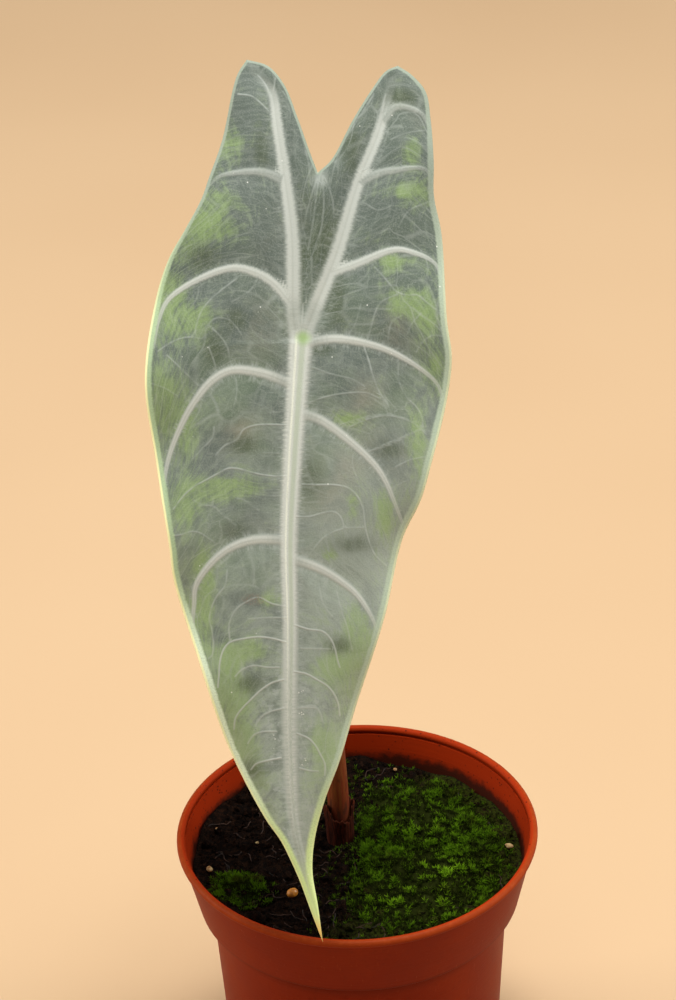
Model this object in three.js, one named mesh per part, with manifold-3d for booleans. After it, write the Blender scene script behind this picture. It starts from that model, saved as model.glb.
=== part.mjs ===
// Potted alocasia longiloba: one arrow-shaped blade on its stalk, in a small plastic nursery pot.
// Units are millimetres, +Z is up, -Y is the front, and the origin is the middle of the pot's base.
import * as THREE from 'three';
import { mergeVertices } from 'three/addons/utils/BufferGeometryUtils.js';
import Module from 'manifold-3d';

const wasm = await Module();
wasm.setup();

// Pot
const POT_HEIGHT = 70;
const LIP_RADIUS = 40;
const LIP_BEAD = 1.8;
const COLLAR_TOP_RADIUS = 39.2;
const COLLAR_FOOT_RADIUS = 36.2;
const COLLAR_HEIGHT = 15.5;
const STEP_HEIGHT = 1.2;
const BODY_TOP_RADIUS = 33.2;
const BASE_RADIUS = 30.2;
const BASE_CHAMFER = 1;
const POT_WALL = 1.1;
const POT_SIDES = 48;
const DRAIN_HOLES = 6;
const DRAIN_RADIUS = 3;
const DRAIN_RING_RADIUS = 19;

// Soil
const GAP = 0.3;
const SOIL_TOP = POT_HEIGHT - 8;
const SOIL_SIDES = 36;
const SOIL_RINGS = 8;

// Stalk, with the point where it stands and the point where the blade's ribs meet
const STALK_FOOT = new THREE.Vector3(-3.7, 6.7, SOIL_TOP - 1.7);
const RIB_JUNCTION = new THREE.Vector3(-7.3, -8, POT_HEIGHT + 124.87);
const STALK_FOOT_RADIUS = 2.5;
const STALK_WAIST_RADIUS = 1.75;
const STALK_HEAD_RADIUS = 2.2;
const STALK_SIDES = 12;
const STALK_STEPS = 32;
const SHEATH_WALL = 0.8;
const SHEATH_LENGTH = 10;
const SHAFT_RADIUS = 4.4;
const SHAFT_LENGTH = 12;
const SHAFT_BELOW_FOOT = 1.8;

// Rootstock, with its width at parts of its depth
const ROOTSTOCK_DEPTH = 24;
const ROOTSTOCK_RADIUS = 5;
const ROOTSTOCK_SIDES = 16;
const ROOTSTOCK_PROFILE = [[0, 0.62], [0.1, 0.85], [0.3, 1], [0.6, 0.95], [0.85, 0.7], [1, 0.35]];
const ROOTS = 8;
const ROOT_RADIUS = 0.9;
const ROOT_TIP_RADIUS = 0.4;
const ROOT_REACH = [14, 20];
const ROOT_FALL = [12, 26];

// Blade, as it lies: distances along it run from the rib junction to the tip, across it to the right
const BLADE_LEAN = 30.16;
const BLADE_THICKNESS = 0.8;
const LOBE_ARCH = 0.0016;
const TIP_ARCH = 0.00075;
const FOLD = 2.2;
const WEB_FOLD = 0.9;
const WAVE = 0.9;
const WAVE_LENGTH = 31;
const ROW_SPACING = 3.9;
const LOBE_ROWS = 8;
const COLUMNS = 7;

// Outlines of the blade, as [across, along]
const NOTCH = [4.4, -33];
const TIP = [-0.5, 119.6];
const LEFT_LOBE = [-8.8, -56.3];
const RIGHT_LOBE = [21, -53.9];
const LEFT_EDGE = [
  LEFT_LOBE, [-10.8, -53.2], [-14.2, -40.3], [-16.9, -33], [-18.6, -28.5], [-22, -22.6], [-25.5, -16.9],
  [-28.3, -9.1], [-30.9, 7], [-29.5, 22.2], [-27.5, 39], [-26.9, 46], [-22.7, 61.8], [-17.9, 77.9],
  [-10.9, 94.3], [-4.8, 106.7], [-2.5, 113.9], TIP,
];
const RIGHT_EDGE = [
  RIGHT_LOBE, [23.7, -51.9], [26.3, -48.4], [27, -42.7], [27.2, -34], [27, -27.5], [28.2, -20], [28.5, -3],
  [29.2, 4.5], [28, 12.4], [24.4, 25], [22.1, 32], [18.3, 39.4], [14.2, 54.5], [7.4, 73], [0.8, 90.7],
  [-1.4, 98.5], [-1.6, 105], [-0.9, 112], TIP,
];
const LEFT_SINUS = [LEFT_LOBE, [-4.7, -54.9], [-1.6, -51], [0.8, -44.3], [2.9, -37.5], NOTCH];
const RIGHT_SINUS = [RIGHT_LOBE, [18.6, -52.9], [15.9, -49.6], [11.7, -43.3], [7.2, -35.5], NOTCH];
const MIDDLE = [
  NOTCH, [1.8, -15], [0, 0], [-3.2, 30.1], [-4.4, 55.2], [-5.4, 79], [-5.1, 95.5], [-3.2, 105.8], TIP,
];

// Ribs: paths as [across, along], then for each kind its width from root to end, how far it stands out in
// front and behind, and how finely it is drawn
const LEFT_COSTA = [[0, 2], [-1.3, -3.8], [-1.1, -20.9], [-3.2, -42.5], [-4.1, -49.6], [-6.3, -52.7]];
const RIGHT_COSTA = [[-0.4, 2], [1.7, -3.7], [7.3, -16.3], [12.3, -30.7], [16.8, -40.9], [18.8, -47.8]];
const MIDRIB = [
  [0.1, -3], [-0.7, 4.7], [-2.5, 21.6], [-4, 38.6], [-4.4, 55.2], [-5.4, 79], [-5.1, 95.5], [-3.2, 105.8],
  [-1.5, 113.5],
];
const MIDRIB_SIZE = { from: 4.2, to: 1.2, front: 0.45, back: 1.5, spacing: 4.5, sides: 8 };
const COSTA_SIZE = { from: 3.4, to: 1.1, front: 0.4, back: 1.2, spacing: 4.5, sides: 8 };
const LATERAL_SIZE = { from: 2.3, to: 1.1, front: 0.45, back: 0.7, spacing: 3.5, sides: 6 };
const MINOR_SIZE = { from: 1.1, to: 0.9, front: 0.3, back: 0.35, spacing: 4, sides: 4 };
const LATERALS = [
  [[-2.8, -32.1], [-6.1, -33.4], [-10.4, -33.6], [-15.2, -32.8]],
  [[-1.6, -7.2], [-5.2, -11.6], [-8.6, -13.7], [-12.8, -14.7], [-19.5, -12.8], [-25.6, -9.2]],
  [[-1.8, 8.6], [-5.1, 7.1], [-8.4, 5.9], [-14, 5.3], [-17.8, 7.2], [-21, 10.7], [-24, 15.4], [-26.9, 22]],
  [[-3.6, 39], [-10.6, 38.5], [-15.7, 40], [-19.7, 43.1], [-22.6, 47.2], [-23.1, 50.8]],
  [[17.6, -43], [19.7, -45.3], [21.7, -45.5], [25.2, -44]],
  [[12.4, -30.8], [16.4, -32.4], [19.4, -32.8], [25.4, -32.8]],
  [[6.2, -13.2], [11.1, -14.6], [18.8, -17.1], [22.2, -16.5], [26.6, -14.2]],
  [[0.5, 0.7], [3.7, 0], [7.1, -0.1], [14.5, 1.7], [19.7, 4.2], [25.9, 9.1]],
  [[-1.2, 14], [2.7, 15.4], [6, 17.7], [12.6, 23.9], [15, 27.4], [17.5, 34]],
  [[-4.2, 42.4], [-0.1, 43.8], [2.8, 45.2], [6.1, 47.5], [9, 50.2], [11.9, 55.2]],
];
const MINOR_RIBS = [
  [[-3.4, 26.4], [-10.5, 25.4], [-15.3, 24.4], [-20.1, 26.7], [-25.3, 30.8]],
  [[-3.2, 16.4], [-9.9, 16.2], [-13.2, 18.7], [-17.6, 21.7]],
  [[-4.6, 59.2], [-10.8, 57.6], [-16.3, 58.4], [-18.5, 62.4], [-18.6, 66]],
  [[-5.2, 66.2], [-8.5, 66.8], [-12.7, 69.9], [-15.4, 73]],
  [[-3, 28], [1.7, 28.2], [8.1, 29.2], [10.7, 33.2], [11.4, 38.7], [13.8, 43.6]],
  [[7.6, 17.6], [12.4, 15.8], [15.9, 15.3], [22.7, 18.2]],
  [[-4.4, 55.4], [-0.8, 56.5], [3.4, 58.5], [4.6, 62.8]],
  [[-4.8, 64.6], [0.6, 66.6], [3.7, 69.6], [4.4, 73.2]],
];

// Moss mats, as a middle, a reach all round it at even angles from +X, and a height
const RIGHT_MOSS = {
  middle: [15.5, 0],
  reach: [17, 16.5, 18.5, 23.5, 28, 28, 22, 17, 14.5, 18, 25.5, 29, 29, 24.5, 20, 17.5],
  height: 3.4,
};
const LEFT_MOSS = {
  middle: [-26.8, -11],
  reach: [6.5, 4.2, 3.8, 4.6, 5.2, 4, 4.4, 5.4],
  height: 2.2,
};
const MOSS_SPACING = 3.4;

// Feed prill
const PRILL_PLACE = [-14.6, -15.5];
const PRILL_RADIUS = 1.05;

// Materials
const finish = (color, roughness) => new THREE.MeshStandardMaterial({ color, roughness, metalness: 0 });
const PLASTIC = finish(0x8a2f16, 0.45);
const EARTH = finish(0x1c1410, 0.95);
const ROOT_SKIN = finish(0x8c6a48, 0.8);
const STALK_SKIN = finish(0x5e3013, 0.5);
const DRY_SHEATH = finish(0x3a150c, 0.8);
const BLADE_SKIN = finish(0x7e8c7c, 0.55);
const MOSS = finish(0x2f4a0e, 0.95);
const PRILL = finish(0xa8742e, 0.6);

// Plain numbers
const wrap = (index, count) => (index + count) % count;
const mix = THREE.MathUtils.lerp;
const clamp = THREE.MathUtils.clamp;
const smooth = THREE.MathUtils.smoothstep;

// A steady random draw from 0 to 1.
function seeded(seed) {
  let state = seed;
  return () => {
    state = (state * 16807) % 2147483647;
    return state / 2147483647;
  };
}

// Triangles of one closed body, from points and faces.
function body(points, faces) {
  const geometry = new THREE.BufferGeometry();
  const numbers = points.flatMap((point) => point.toArray());
  geometry.setAttribute('position', new THREE.Float32BufferAttribute(numbers, 3));
  geometry.setIndex(faces.flat());
  return geometry;
}

// A skin over a row of rings with as many points each, closed at both ends.
function skin(rings) {
  const around = rings[0].length;
  const points = rings.flat();
  const faces = [];
  for (let ring = 0; ring + 1 < rings.length; ring += 1) {
    for (let side = 0; side < around; side += 1) {
      const here = ring * around + side;
      const next = ring * around + wrap(side + 1, around);
      faces.push([here, next, next + around], [here, next + around, here + around]);
    }
  }
  const last = (rings.length - 1) * around;
  for (let side = 1; side + 1 < around; side += 1) {
    faces.push([0, side + 1, side], [last, last + side, last + side + 1]);
  }
  return body(points, faces);
}

// Rings of points around a path, square to it, with a radius for each place.
function ringsAround(path, radiusAt, steps, sides) {
  const places = Array.from({ length: steps + 1 }, (_, step) => step / steps);
  let side = new THREE.Vector3(1, 0, 0);
  return places.map((place) => {
    const middle = path.getPoint(place);
    const ahead = path.getTangent(place);
    side = side.clone().addScaledVector(ahead, -side.dot(ahead)).normalize();
    const other = new THREE.Vector3().crossVectors(ahead, side);
    return Array.from({ length: sides }, (_, index) => {
      const turn = (index / sides) * Math.PI * 2;
      const radius = radiusAt(place, turn);
      return middle.clone()
        .addScaledVector(side, radius * Math.cos(turn))
        .addScaledVector(other, radius * Math.sin(turn));
    });
  });
}

// Booleans
function solid(geometry) {
  const bare = geometry.clone();
  bare.deleteAttribute('normal');
  bare.deleteAttribute('uv');
  const merged = mergeVertices(bare, 1e-4);
  const vertProperties = merged.attributes.position.array;
  const triVerts = new Uint32Array(merged.index.array);
  return new wasm.Manifold(new wasm.Mesh({ numProp: 3, vertProperties, triVerts }));
}

function geometryOf(made) {
  const { vertProperties, triVerts } = made.getMesh();
  const geometry = new THREE.BufferGeometry();
  geometry.setAttribute('position', new THREE.BufferAttribute(vertProperties, 3));
  geometry.setIndex(new THREE.BufferAttribute(triVerts, 1));
  return geometry;
}

const group = new THREE.Group();

function place(name, made, material) {
  const geometry = made.isBufferGeometry ? made : geometryOf(made);
  geometry.computeVertexNormals();
  const mesh = new THREE.Mesh(geometry, material);
  mesh.name = name;
  group.add(mesh);
}

// Pot
const stepTop = POT_HEIGHT - COLLAR_HEIGHT;
const stepFoot = stepTop - STEP_HEIGHT;
const insideStepFoot = stepFoot - 0.5;

function lipBead() {
  const radius = LIP_BEAD / 2;
  const turns = [-60, -20, 20, 60, 90, 120, 160, 200];
  return turns.map((turn) => {
    const angle = THREE.MathUtils.degToRad(turn);
    return [LIP_RADIUS - radius + radius * Math.cos(angle), POT_HEIGHT - radius + radius * Math.sin(angle)];
  });
}

function potProfile() {
  const outside = [
    [0, 0], [BASE_RADIUS - BASE_CHAMFER, 0], [BASE_RADIUS, BASE_CHAMFER], [BODY_TOP_RADIUS, stepFoot],
    [COLLAR_FOOT_RADIUS - 0.4, stepFoot + 0.4], [COLLAR_FOOT_RADIUS, stepTop],
    [COLLAR_TOP_RADIUS, POT_HEIGHT - LIP_BEAD],
  ];
  const inside = [
    [COLLAR_TOP_RADIUS - POT_WALL, POT_HEIGHT - LIP_BEAD],
    [COLLAR_FOOT_RADIUS - POT_WALL, stepTop],
    [BODY_TOP_RADIUS - POT_WALL, insideStepFoot],
    [BASE_RADIUS - POT_WALL, POT_WALL + BASE_CHAMFER],
    [BASE_RADIUS - POT_WALL - BASE_CHAMFER, POT_WALL],
    [0, POT_WALL],
  ];
  return [...outside, ...lipBead(), ...inside].map(([radius, height]) => new THREE.Vector2(radius, height));
}

function pot() {
  let made = solid(new THREE.LatheGeometry(potProfile(), POT_SIDES).rotateX(Math.PI / 2));
  for (let hole = 0; hole < DRAIN_HOLES; hole += 1) {
    const angle = (hole / DRAIN_HOLES) * Math.PI * 2;
    const drill = new THREE.CylinderGeometry(DRAIN_RADIUS, DRAIN_RADIUS, POT_WALL * 4, 16);
    drill.rotateX(Math.PI / 2);
    drill.translate(DRAIN_RING_RADIUS * Math.cos(angle), DRAIN_RING_RADIUS * Math.sin(angle), 0);
    made = made.subtract(solid(drill));
  }
  return made;
}

// Soil: a plug that fills the pot up to its lumpy top
const potInsideAt = (height) => (height > stepTop
  ? mix(COLLAR_FOOT_RADIUS, COLLAR_TOP_RADIUS, (height - stepTop) / (COLLAR_HEIGHT - LIP_BEAD)) - POT_WALL
  : mix(BASE_RADIUS, BODY_TOP_RADIUS, (height - BASE_CHAMFER) / (stepFoot - BASE_CHAMFER)) - POT_WALL);

function lumps(x, y) {
  return 0.7 * Math.sin(0.24 * x + 1.3) * Math.cos(0.21 * y - 0.6)
    + 0.45 * Math.sin(0.41 * x - 0.37 * y + 2.1)
    + 0.3 * Math.cos(0.33 * x + 0.52 * y)
    - 0.02 * x;
}

function soilRing(radius, heightAt) {
  return Array.from({ length: SOIL_SIDES }, (_, side) => {
    const turn = (side / SOIL_SIDES) * Math.PI * 2;
    const x = radius * Math.cos(turn);
    const y = radius * Math.sin(turn);
    return new THREE.Vector3(x, y, heightAt(x, y));
  });
}

function soilPlug() {
  const floor = POT_WALL + GAP;
  const levels = [
    floor, floor + BASE_CHAMFER + 1, stepFoot / 2, insideStepFoot + GAP, stepTop + GAP, SOIL_TOP - 3.5,
  ];
  const sides = levels.map((height, index) => {
    const shrink = index === 0 ? GAP + BASE_CHAMFER + 0.5 : GAP;
    return soilRing(potInsideAt(height) - shrink, () => height);
  });
  const rim = potInsideAt(SOIL_TOP - 2.5) - GAP;
  const top = Array.from({ length: SOIL_RINGS }, (_, ring) => {
    const radius = mix(rim, 1, ring / (SOIL_RINGS - 1));
    return soilRing(radius, (x, y) => SOIL_TOP + lumps(x, y));
  });
  return solid(skin([...sides, ...top]));
}

// Stalk
const leanAngle = THREE.MathUtils.degToRad(BLADE_LEAN);
const bladeAcross = new THREE.Vector3(1, 0, 0);
const bladeAlong = new THREE.Vector3(0, -Math.sin(leanAngle), -Math.cos(leanAngle));
const bladeFront = new THREE.Vector3(0, -Math.cos(leanAngle), Math.sin(leanAngle));
const behindRibs = MIDRIB_SIZE.back + BLADE_THICKNESS / 2 + GAP + 0.1;
const stalkHead = RIB_JUNCTION.clone().addScaledVector(bladeFront, -behindRibs);
const behindHead = (distance, drop) => (
  stalkHead.clone().addScaledVector(bladeFront, -distance).setZ(stalkHead.z - drop)
);
const stalkPath = new THREE.CatmullRomCurve3([
  STALK_FOOT,
  new THREE.Vector3(-4.1, 6.2, SOIL_TOP + 20),
  new THREE.Vector3(-5.2, 3.9, SOIL_TOP + 60),
  new THREE.Vector3(-6.6, 0, SOIL_TOP + 100),
  behindHead(3.4, 9),
  behindHead(1.9, 1.6),
  stalkHead,
], false, 'centripetal');

function stalkRadius(place) {
  const waist = mix(STALK_FOOT_RADIUS, STALK_WAIST_RADIUS, smooth(place, 0, 0.45));
  return mix(waist, STALK_HEAD_RADIUS, smooth(place, 0.93, 1));
}

const stalk = () => skin(ringsAround(stalkPath, stalkRadius, STALK_STEPS, STALK_SIDES));

// Sheath: a torn sleeve round the stalk's foot
const stalkLength = stalkPath.getLength();
const tornEdge = (turn) => 1 + 0.22 * Math.sin(2 * turn + 0.7) + 0.14 * Math.sin(5 * turn + 2);

function sheathWall(outward) {
  const levels = [0, 0.18, 0.4, 0.65, 0.85, 1];
  return levels.map((level) => Array.from({ length: STALK_SIDES * 2 }, (_, side) => {
    const turn = (side / (STALK_SIDES * 2)) * Math.PI * 2;
    const height = level * SHEATH_LENGTH * tornEdge(turn);
    const flare = 0.5 * level ** 3 * (1 + Math.sin(3 * turn));
    const radius = stalkRadius(0) + GAP * 1.2 + flare + outward * mix(1, 0.7, level);
    const middle = stalkPath.getPointAt(height / stalkLength);
    return middle.add(new THREE.Vector3(radius * Math.cos(turn), radius * Math.sin(turn), 0));
  }));
}

function sheath() {
  const inner = sheathWall(0);
  const outer = sheathWall(SHEATH_WALL);
  const rings = [...outer, ...inner.reverse()];
  const around = rings[0].length;
  const faces = [];
  rings.forEach((_, ring) => {
    const nextRing = wrap(ring + 1, rings.length);
    for (let side = 0; side < around; side += 1) {
      const nextSide = wrap(side + 1, around);
      const corners = [[ring, side], [ring, nextSide], [nextRing, nextSide], [nextRing, side]];
      const [a, b, c, d] = corners.map(([row, column]) => row * around + column);
      faces.push([a, b, c], [a, c, d]);
    }
  });
  return body(rings.flat(), faces);
}

// Rootstock: the short stem under the soil, with its roots
function rootstock(extra) {
  const top = STALK_FOOT.z - GAP;
  const rings = ROOTSTOCK_PROFILE.map(([depth, width]) => {
    const height = top - depth * ROOTSTOCK_DEPTH + (depth === 1 ? -extra : 0);
    const radius = ROOTSTOCK_RADIUS * width + extra;
    return Array.from({ length: ROOTSTOCK_SIDES }, (_, side) => {
      const turn = (side / ROOTSTOCK_SIDES) * Math.PI * 2;
      return new THREE.Vector3(
        STALK_FOOT.x + radius * Math.cos(turn), STALK_FOOT.y + radius * Math.sin(turn), height,
      );
    });
  });
  let made = solid(skin(rings.reverse()));
  const draw = seeded(7);
  for (let root = 0; root < ROOTS; root += 1) {
    const turn = ((root + 0.3 * draw()) / ROOTS) * Math.PI * 2;
    const reach = mix(...ROOT_REACH, draw());
    const fall = mix(...ROOT_FALL, draw());
    const start = top - ROOTSTOCK_DEPTH * (0.35 + 0.4 * draw());
    const at = (distance, drop) => new THREE.Vector3(
      STALK_FOOT.x * (1 - distance / 30) + distance * Math.cos(turn),
      STALK_FOOT.y * (1 - distance / 30) + distance * Math.sin(turn),
      start - drop,
    );
    const path = new THREE.CatmullRomCurve3([
      at(2, 0), at(6, 1), at(reach * 0.7, fall * 0.35), at(reach, fall * 0.75), at(reach + 1, fall + extra),
    ]);
    const radiusAt = (part) => mix(ROOT_RADIUS, ROOT_TIP_RADIUS, part) + extra;
    made = made.add(solid(skin(ringsAround(path, radiusAt, 7, 5))));
  }
  return made;
}

// The plain round hole that the stalk and its sheath stand in.
function shaft() {
  const drill = new THREE.CylinderGeometry(SHAFT_RADIUS, SHAFT_RADIUS, SHAFT_LENGTH, 24);
  drill.rotateX(Math.PI / 2);
  drill.translate(STALK_FOOT.x, STALK_FOOT.y, STALK_FOOT.z - SHAFT_BELOW_FOOT + SHAFT_LENGTH / 2);
  return solid(drill);
}

const soil = () => soilPlug().subtract(shaft()).subtract(rootstock(GAP));

// Blade
const flat = (pairs) => (
  new THREE.CatmullRomCurve3(pairs.map(([x, y]) => new THREE.Vector3(x, y, 0)), false, 'centripetal')
);

// How far across an outline lies, at a distance along the blade.
function acrossAlong(pairs) {
  const samples = flat(pairs).getPoints(pairs.length * 16);
  return (along) => {
    const after = samples.findIndex((sample) => sample.y >= along);
    if (after < 0) return samples.at(-1).x;
    if (after === 0) return samples[0].x;
    const before = samples[after - 1];
    return mix(before.x, samples[after].x, (along - before.y) / (samples[after].y - before.y));
  };
}

const middleAt = acrossAlong(MIDDLE);
const halves = {
  left: {
    edge: acrossAlong(LEFT_EDGE),
    sinus: acrossAlong(LEFT_SINUS),
    spine: acrossAlong([...LEFT_COSTA].reverse()),
    lobe: LEFT_LOBE[1],
    wavePhase: 0.6,
  },
  right: {
    edge: acrossAlong(RIGHT_EDGE),
    sinus: acrossAlong(RIGHT_SINUS),
    spine: acrossAlong([...RIGHT_COSTA].reverse()),
    lobe: RIGHT_LOBE[1],
    wavePhase: 2.4,
  },
};

// How far the blade's middle surface lies in front of its plane.
function relief(across, along) {
  const arch = (along < 0 ? LOBE_ARCH : TIP_ARCH) * along ** 2;
  const side = across < middleAt(along) ? halves.left : halves.right;
  const spine = along < 0 ? side.spine(along) : middleAt(along);
  const edge = side.edge(along);
  const inner = along < NOTCH[1] ? side.sinus(along) : middleAt(along);
  const outward = (across - spine) / (edge - spine || 1);
  if (outward < 0) {
    const web = Math.abs(spine - inner);
    const part = clamp((spine - across) / (spine - inner || 1), 0, 1);
    return -arch + WEB_FOLD * (web / 10) * Math.sin(part * Math.PI * 0.8);
  }
  const width = Math.abs(edge - spine);
  const part = clamp(outward, 0, 1);
  const fold = FOLD * (width / 28) * Math.sin(part * Math.PI * 0.85);
  const ends = smooth(along, -56, -40) * (1 - 0.85 * smooth(along, 55, 115));
  const wave = WAVE * ends * part ** 3 * Math.sin((along / WAVE_LENGTH) * Math.PI * 2 + side.wavePhase);
  return -arch + fold + wave;
}

function offPlane(across, along, forward) {
  return RIB_JUNCTION.clone()
    .addScaledVector(bladeAcross, across)
    .addScaledVector(bladeAlong, along)
    .addScaledVector(bladeFront, forward);
}

const onBlade = (across, along, forward) => offPlane(across, along, relief(across, along) + forward);

// Rows of [across, along] for one half of the blade, from its lobe to the tip.
function halfRows(side) {
  const lobeRows = Array.from({ length: LOBE_ROWS }, (_, row) => (
    mix(side.lobe, NOTCH[1], 1 - Math.cos((row / LOBE_ROWS) * Math.PI / 2))
  ));
  const count = Math.round((TIP[1] - NOTCH[1]) / ROW_SPACING);
  const bodyRows = Array.from({ length: count + 1 }, (_, row) => mix(NOTCH[1], TIP[1], row / count));
  return [...lobeRows, ...bodyRows].map((along) => {
    const inner = along < NOTCH[1] ? side.sinus(along) : middleAt(along);
    const outer = side.edge(along);
    return Array.from({ length: COLUMNS + 1 }, (_, column) => [mix(inner, outer, column / COLUMNS), along]);
  });
}

// Triangles of the middle surface, with the points that both halves share welded.
function bladeSheet() {
  const points = [];
  const known = new Map();
  const indexOf = ([across, along]) => {
    const key = `${across.toFixed(3)} ${along.toFixed(3)}`;
    if (!known.has(key)) {
      known.set(key, points.length);
      points.push([across, along]);
    }
    return known.get(key);
  };
  const faces = [];
  for (const side of [halves.left, halves.right]) {
    const rows = halfRows(side).map((row) => row.map(indexOf));
    for (let row = 0; row + 1 < rows.length; row += 1) {
      for (let column = 0; column < COLUMNS; column += 1) {
        const [near, far] = [rows[row], rows[row + 1]];
        const corners = [near[column], near[column + 1], far[column + 1], far[column]];
        if (side === halves.right) corners.reverse();
        const [a, b, c, d] = corners;
        faces.push([a, b, c], [a, c, d]);
      }
    }
  }
  return { points, faces: faces.filter(([a, b, c]) => a !== b && b !== c && c !== a) };
}

function lamina() {
  const { points, faces } = bladeSheet();
  const face = (forward) => points.map(([across, along]) => onBlade(across, along, forward));
  const front = face(BLADE_THICKNESS / 2);
  const back = face(-BLADE_THICKNESS / 2);
  const count = points.length;
  const rims = new Map();
  faces.forEach(([a, b, c]) => [[a, b], [b, c], [c, a]].forEach(([from, to]) => {
    if (!rims.delete(`${to} ${from}`)) rims.set(`${from} ${to}`, [from, to]);
  }));
  const walls = [...rims.values()].flatMap(([from, to]) => [
    [to, from, from + count], [to, from + count, to + count],
  ]);
  const backFaces = faces.map(([a, b, c]) => [a + count, c + count, b + count]);
  return solid(body([...front, ...back], [...faces, ...backFaces, ...walls]));
}

function rib(pairs, size) {
  const { sides } = size;
  const path = flat(pairs);
  const steps = Math.max(4, Math.round(path.getLength() / size.spacing));
  const rings = Array.from({ length: steps + 1 }, (_, step) => {
    const part = step / steps;
    const middle = path.getPointAt(part);
    const ahead = path.getTangentAt(part);
    const sunk = smooth(part, 0.7, 1);
    const half = mix(size.from, size.to, part) / 2;
    const proudAt = (proud) => BLADE_THICKNESS / 2 + proud * mix(1, 0.6, part);
    const deep = (proud) => mix(proudAt(proud), BLADE_THICKNESS * 0.35, sunk);
    return Array.from({ length: sides }, (_, index) => {
      const turn = (index / sides) * Math.PI * 2;
      const out = Math.sin(turn);
      const wide = half * Math.cos(turn);
      const across = middle.x + ahead.y * wide;
      const along = middle.y - ahead.x * wide;
      const forward = relief(middle.x, middle.y) + out * deep(out > 0 ? size.front : size.back);
      return offPlane(across, along, forward);
    });
  });
  return solid(skin(rings));
}

function leafBlade() {
  const ribs = [
    rib(MIDRIB, MIDRIB_SIZE),
    rib(LEFT_COSTA, COSTA_SIZE),
    rib(RIGHT_COSTA, COSTA_SIZE),
    ...LATERALS.map((pairs) => rib(pairs, LATERAL_SIZE)),
    ...MINOR_RIBS.map((pairs) => rib(pairs, MINOR_SIZE)),
  ];
  return ribs.reduce((made, piece) => made.add(piece), lamina());
}

// Moss: mats of tufts that follow the soil
function tufts(x, y) {
  return 0.55 * Math.sin(1.05 * x + 0.4 * y) * Math.sin(0.95 * y - 0.5 * x + 1)
    + 0.4 * Math.sin(0.5 * x + 0.7 * y + 2);
}

function mossMat({ middle, reach, height }) {
  const outline = new THREE.CatmullRomCurve3(reach.map((distance, index) => {
    const turn = (index / reach.length) * Math.PI * 2;
    return new THREE.Vector3(middle[0] + distance * Math.cos(turn), middle[1] + distance * Math.sin(turn), 0);
  }), true);
  const longest = Math.max(...reach);
  const sides = Math.round(outline.getLength() / MOSS_SPACING);
  const levels = Math.max(4, Math.round(longest / MOSS_SPACING));
  const edge = outline.getSpacedPoints(sides).slice(0, sides);
  const ringAt = (part, heightAt) => edge.map(({ x, y }) => {
    const px = mix(middle[0], x, part);
    const py = mix(middle[1], y, part);
    return new THREE.Vector3(px, py, heightAt(px, py));
  });
  const floor = SOIL_TOP - 5;
  const rings = [ringAt(0.02, () => floor), ringAt(0.98, () => floor)];
  for (let level = 0; level <= levels; level += 1) {
    const part = mix(1, 0.03, level / levels);
    const crown = height * Math.sqrt(1 - 0.94 * part ** 2);
    const tuft = 0.8 * (1 - part ** 6);
    rings.push(ringAt(part, (x, y) => SOIL_TOP + GAP + lumps(x, y) + crown + tuft * tufts(x, y)));
  }
  const under = soilPlug().translate(0, 0, GAP);
  return solid(skin(rings)).subtract(under).subtract(shaft());
}

function feedPrill() {
  const [x, y] = PRILL_PLACE;
  const prill = new THREE.SphereGeometry(PRILL_RADIUS, 12, 8);
  prill.scale(1.25, 1, 0.95);
  prill.rotateZ(0.5);
  prill.translate(x, y, SOIL_TOP + lumps(x, y) + PRILL_RADIUS + GAP);
  return solid(prill);
}

place('pot', pot(), PLASTIC);
place('soil', soil(), EARTH);
place('rootstock', rootstock(0), ROOT_SKIN);
place('basal_sheath', sheath(), DRY_SHEATH);
place('petiole', stalk(), STALK_SKIN);
place('leaf_blade', leafBlade(), BLADE_SKIN);
place('moss_right', mossMat(RIGHT_MOSS), MOSS);
place('moss_front_left', mossMat(LEFT_MOSS), MOSS);
place('feed_prill', feedPrill(), PRILL);

export default group;
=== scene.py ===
import math
import random

import bmesh
import bpy
import numpy as np
from mathutils import Euler, Matrix, Vector, noise


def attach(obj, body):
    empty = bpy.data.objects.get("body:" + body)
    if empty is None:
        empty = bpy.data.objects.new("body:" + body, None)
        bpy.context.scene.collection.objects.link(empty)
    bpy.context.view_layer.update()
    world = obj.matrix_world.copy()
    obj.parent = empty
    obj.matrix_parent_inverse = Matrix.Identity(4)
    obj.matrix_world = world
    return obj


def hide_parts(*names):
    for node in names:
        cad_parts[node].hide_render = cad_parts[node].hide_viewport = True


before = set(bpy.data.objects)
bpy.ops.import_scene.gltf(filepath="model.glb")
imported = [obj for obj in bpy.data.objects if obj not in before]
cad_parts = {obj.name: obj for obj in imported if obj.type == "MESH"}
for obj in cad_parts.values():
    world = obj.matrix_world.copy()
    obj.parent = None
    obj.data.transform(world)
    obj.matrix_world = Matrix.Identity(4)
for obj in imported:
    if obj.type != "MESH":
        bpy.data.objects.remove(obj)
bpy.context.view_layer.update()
print("frame loaded:", ", ".join(sorted(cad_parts)))

# Lengths are in millimetres until a piece's mesh is made. The pot stands on z = 0 and faces -Y.
mm = 0.001


# Shapes
def collect(shape):
    mesh = bpy.data.meshes.new("shape")
    shape.to_mesh(mesh)
    shape.free()
    return mesh


def newObject(name, data):
    made = bpy.data.objects.new(name, data)
    bpy.context.scene.collection.objects.link(made)
    return made


def bakedMesh(item):     # with its bevel or modifiers carried out
    return bpy.data.meshes.new_from_object(item.evaluated_get(bpy.context.evaluated_depsgraph_get()))


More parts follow.
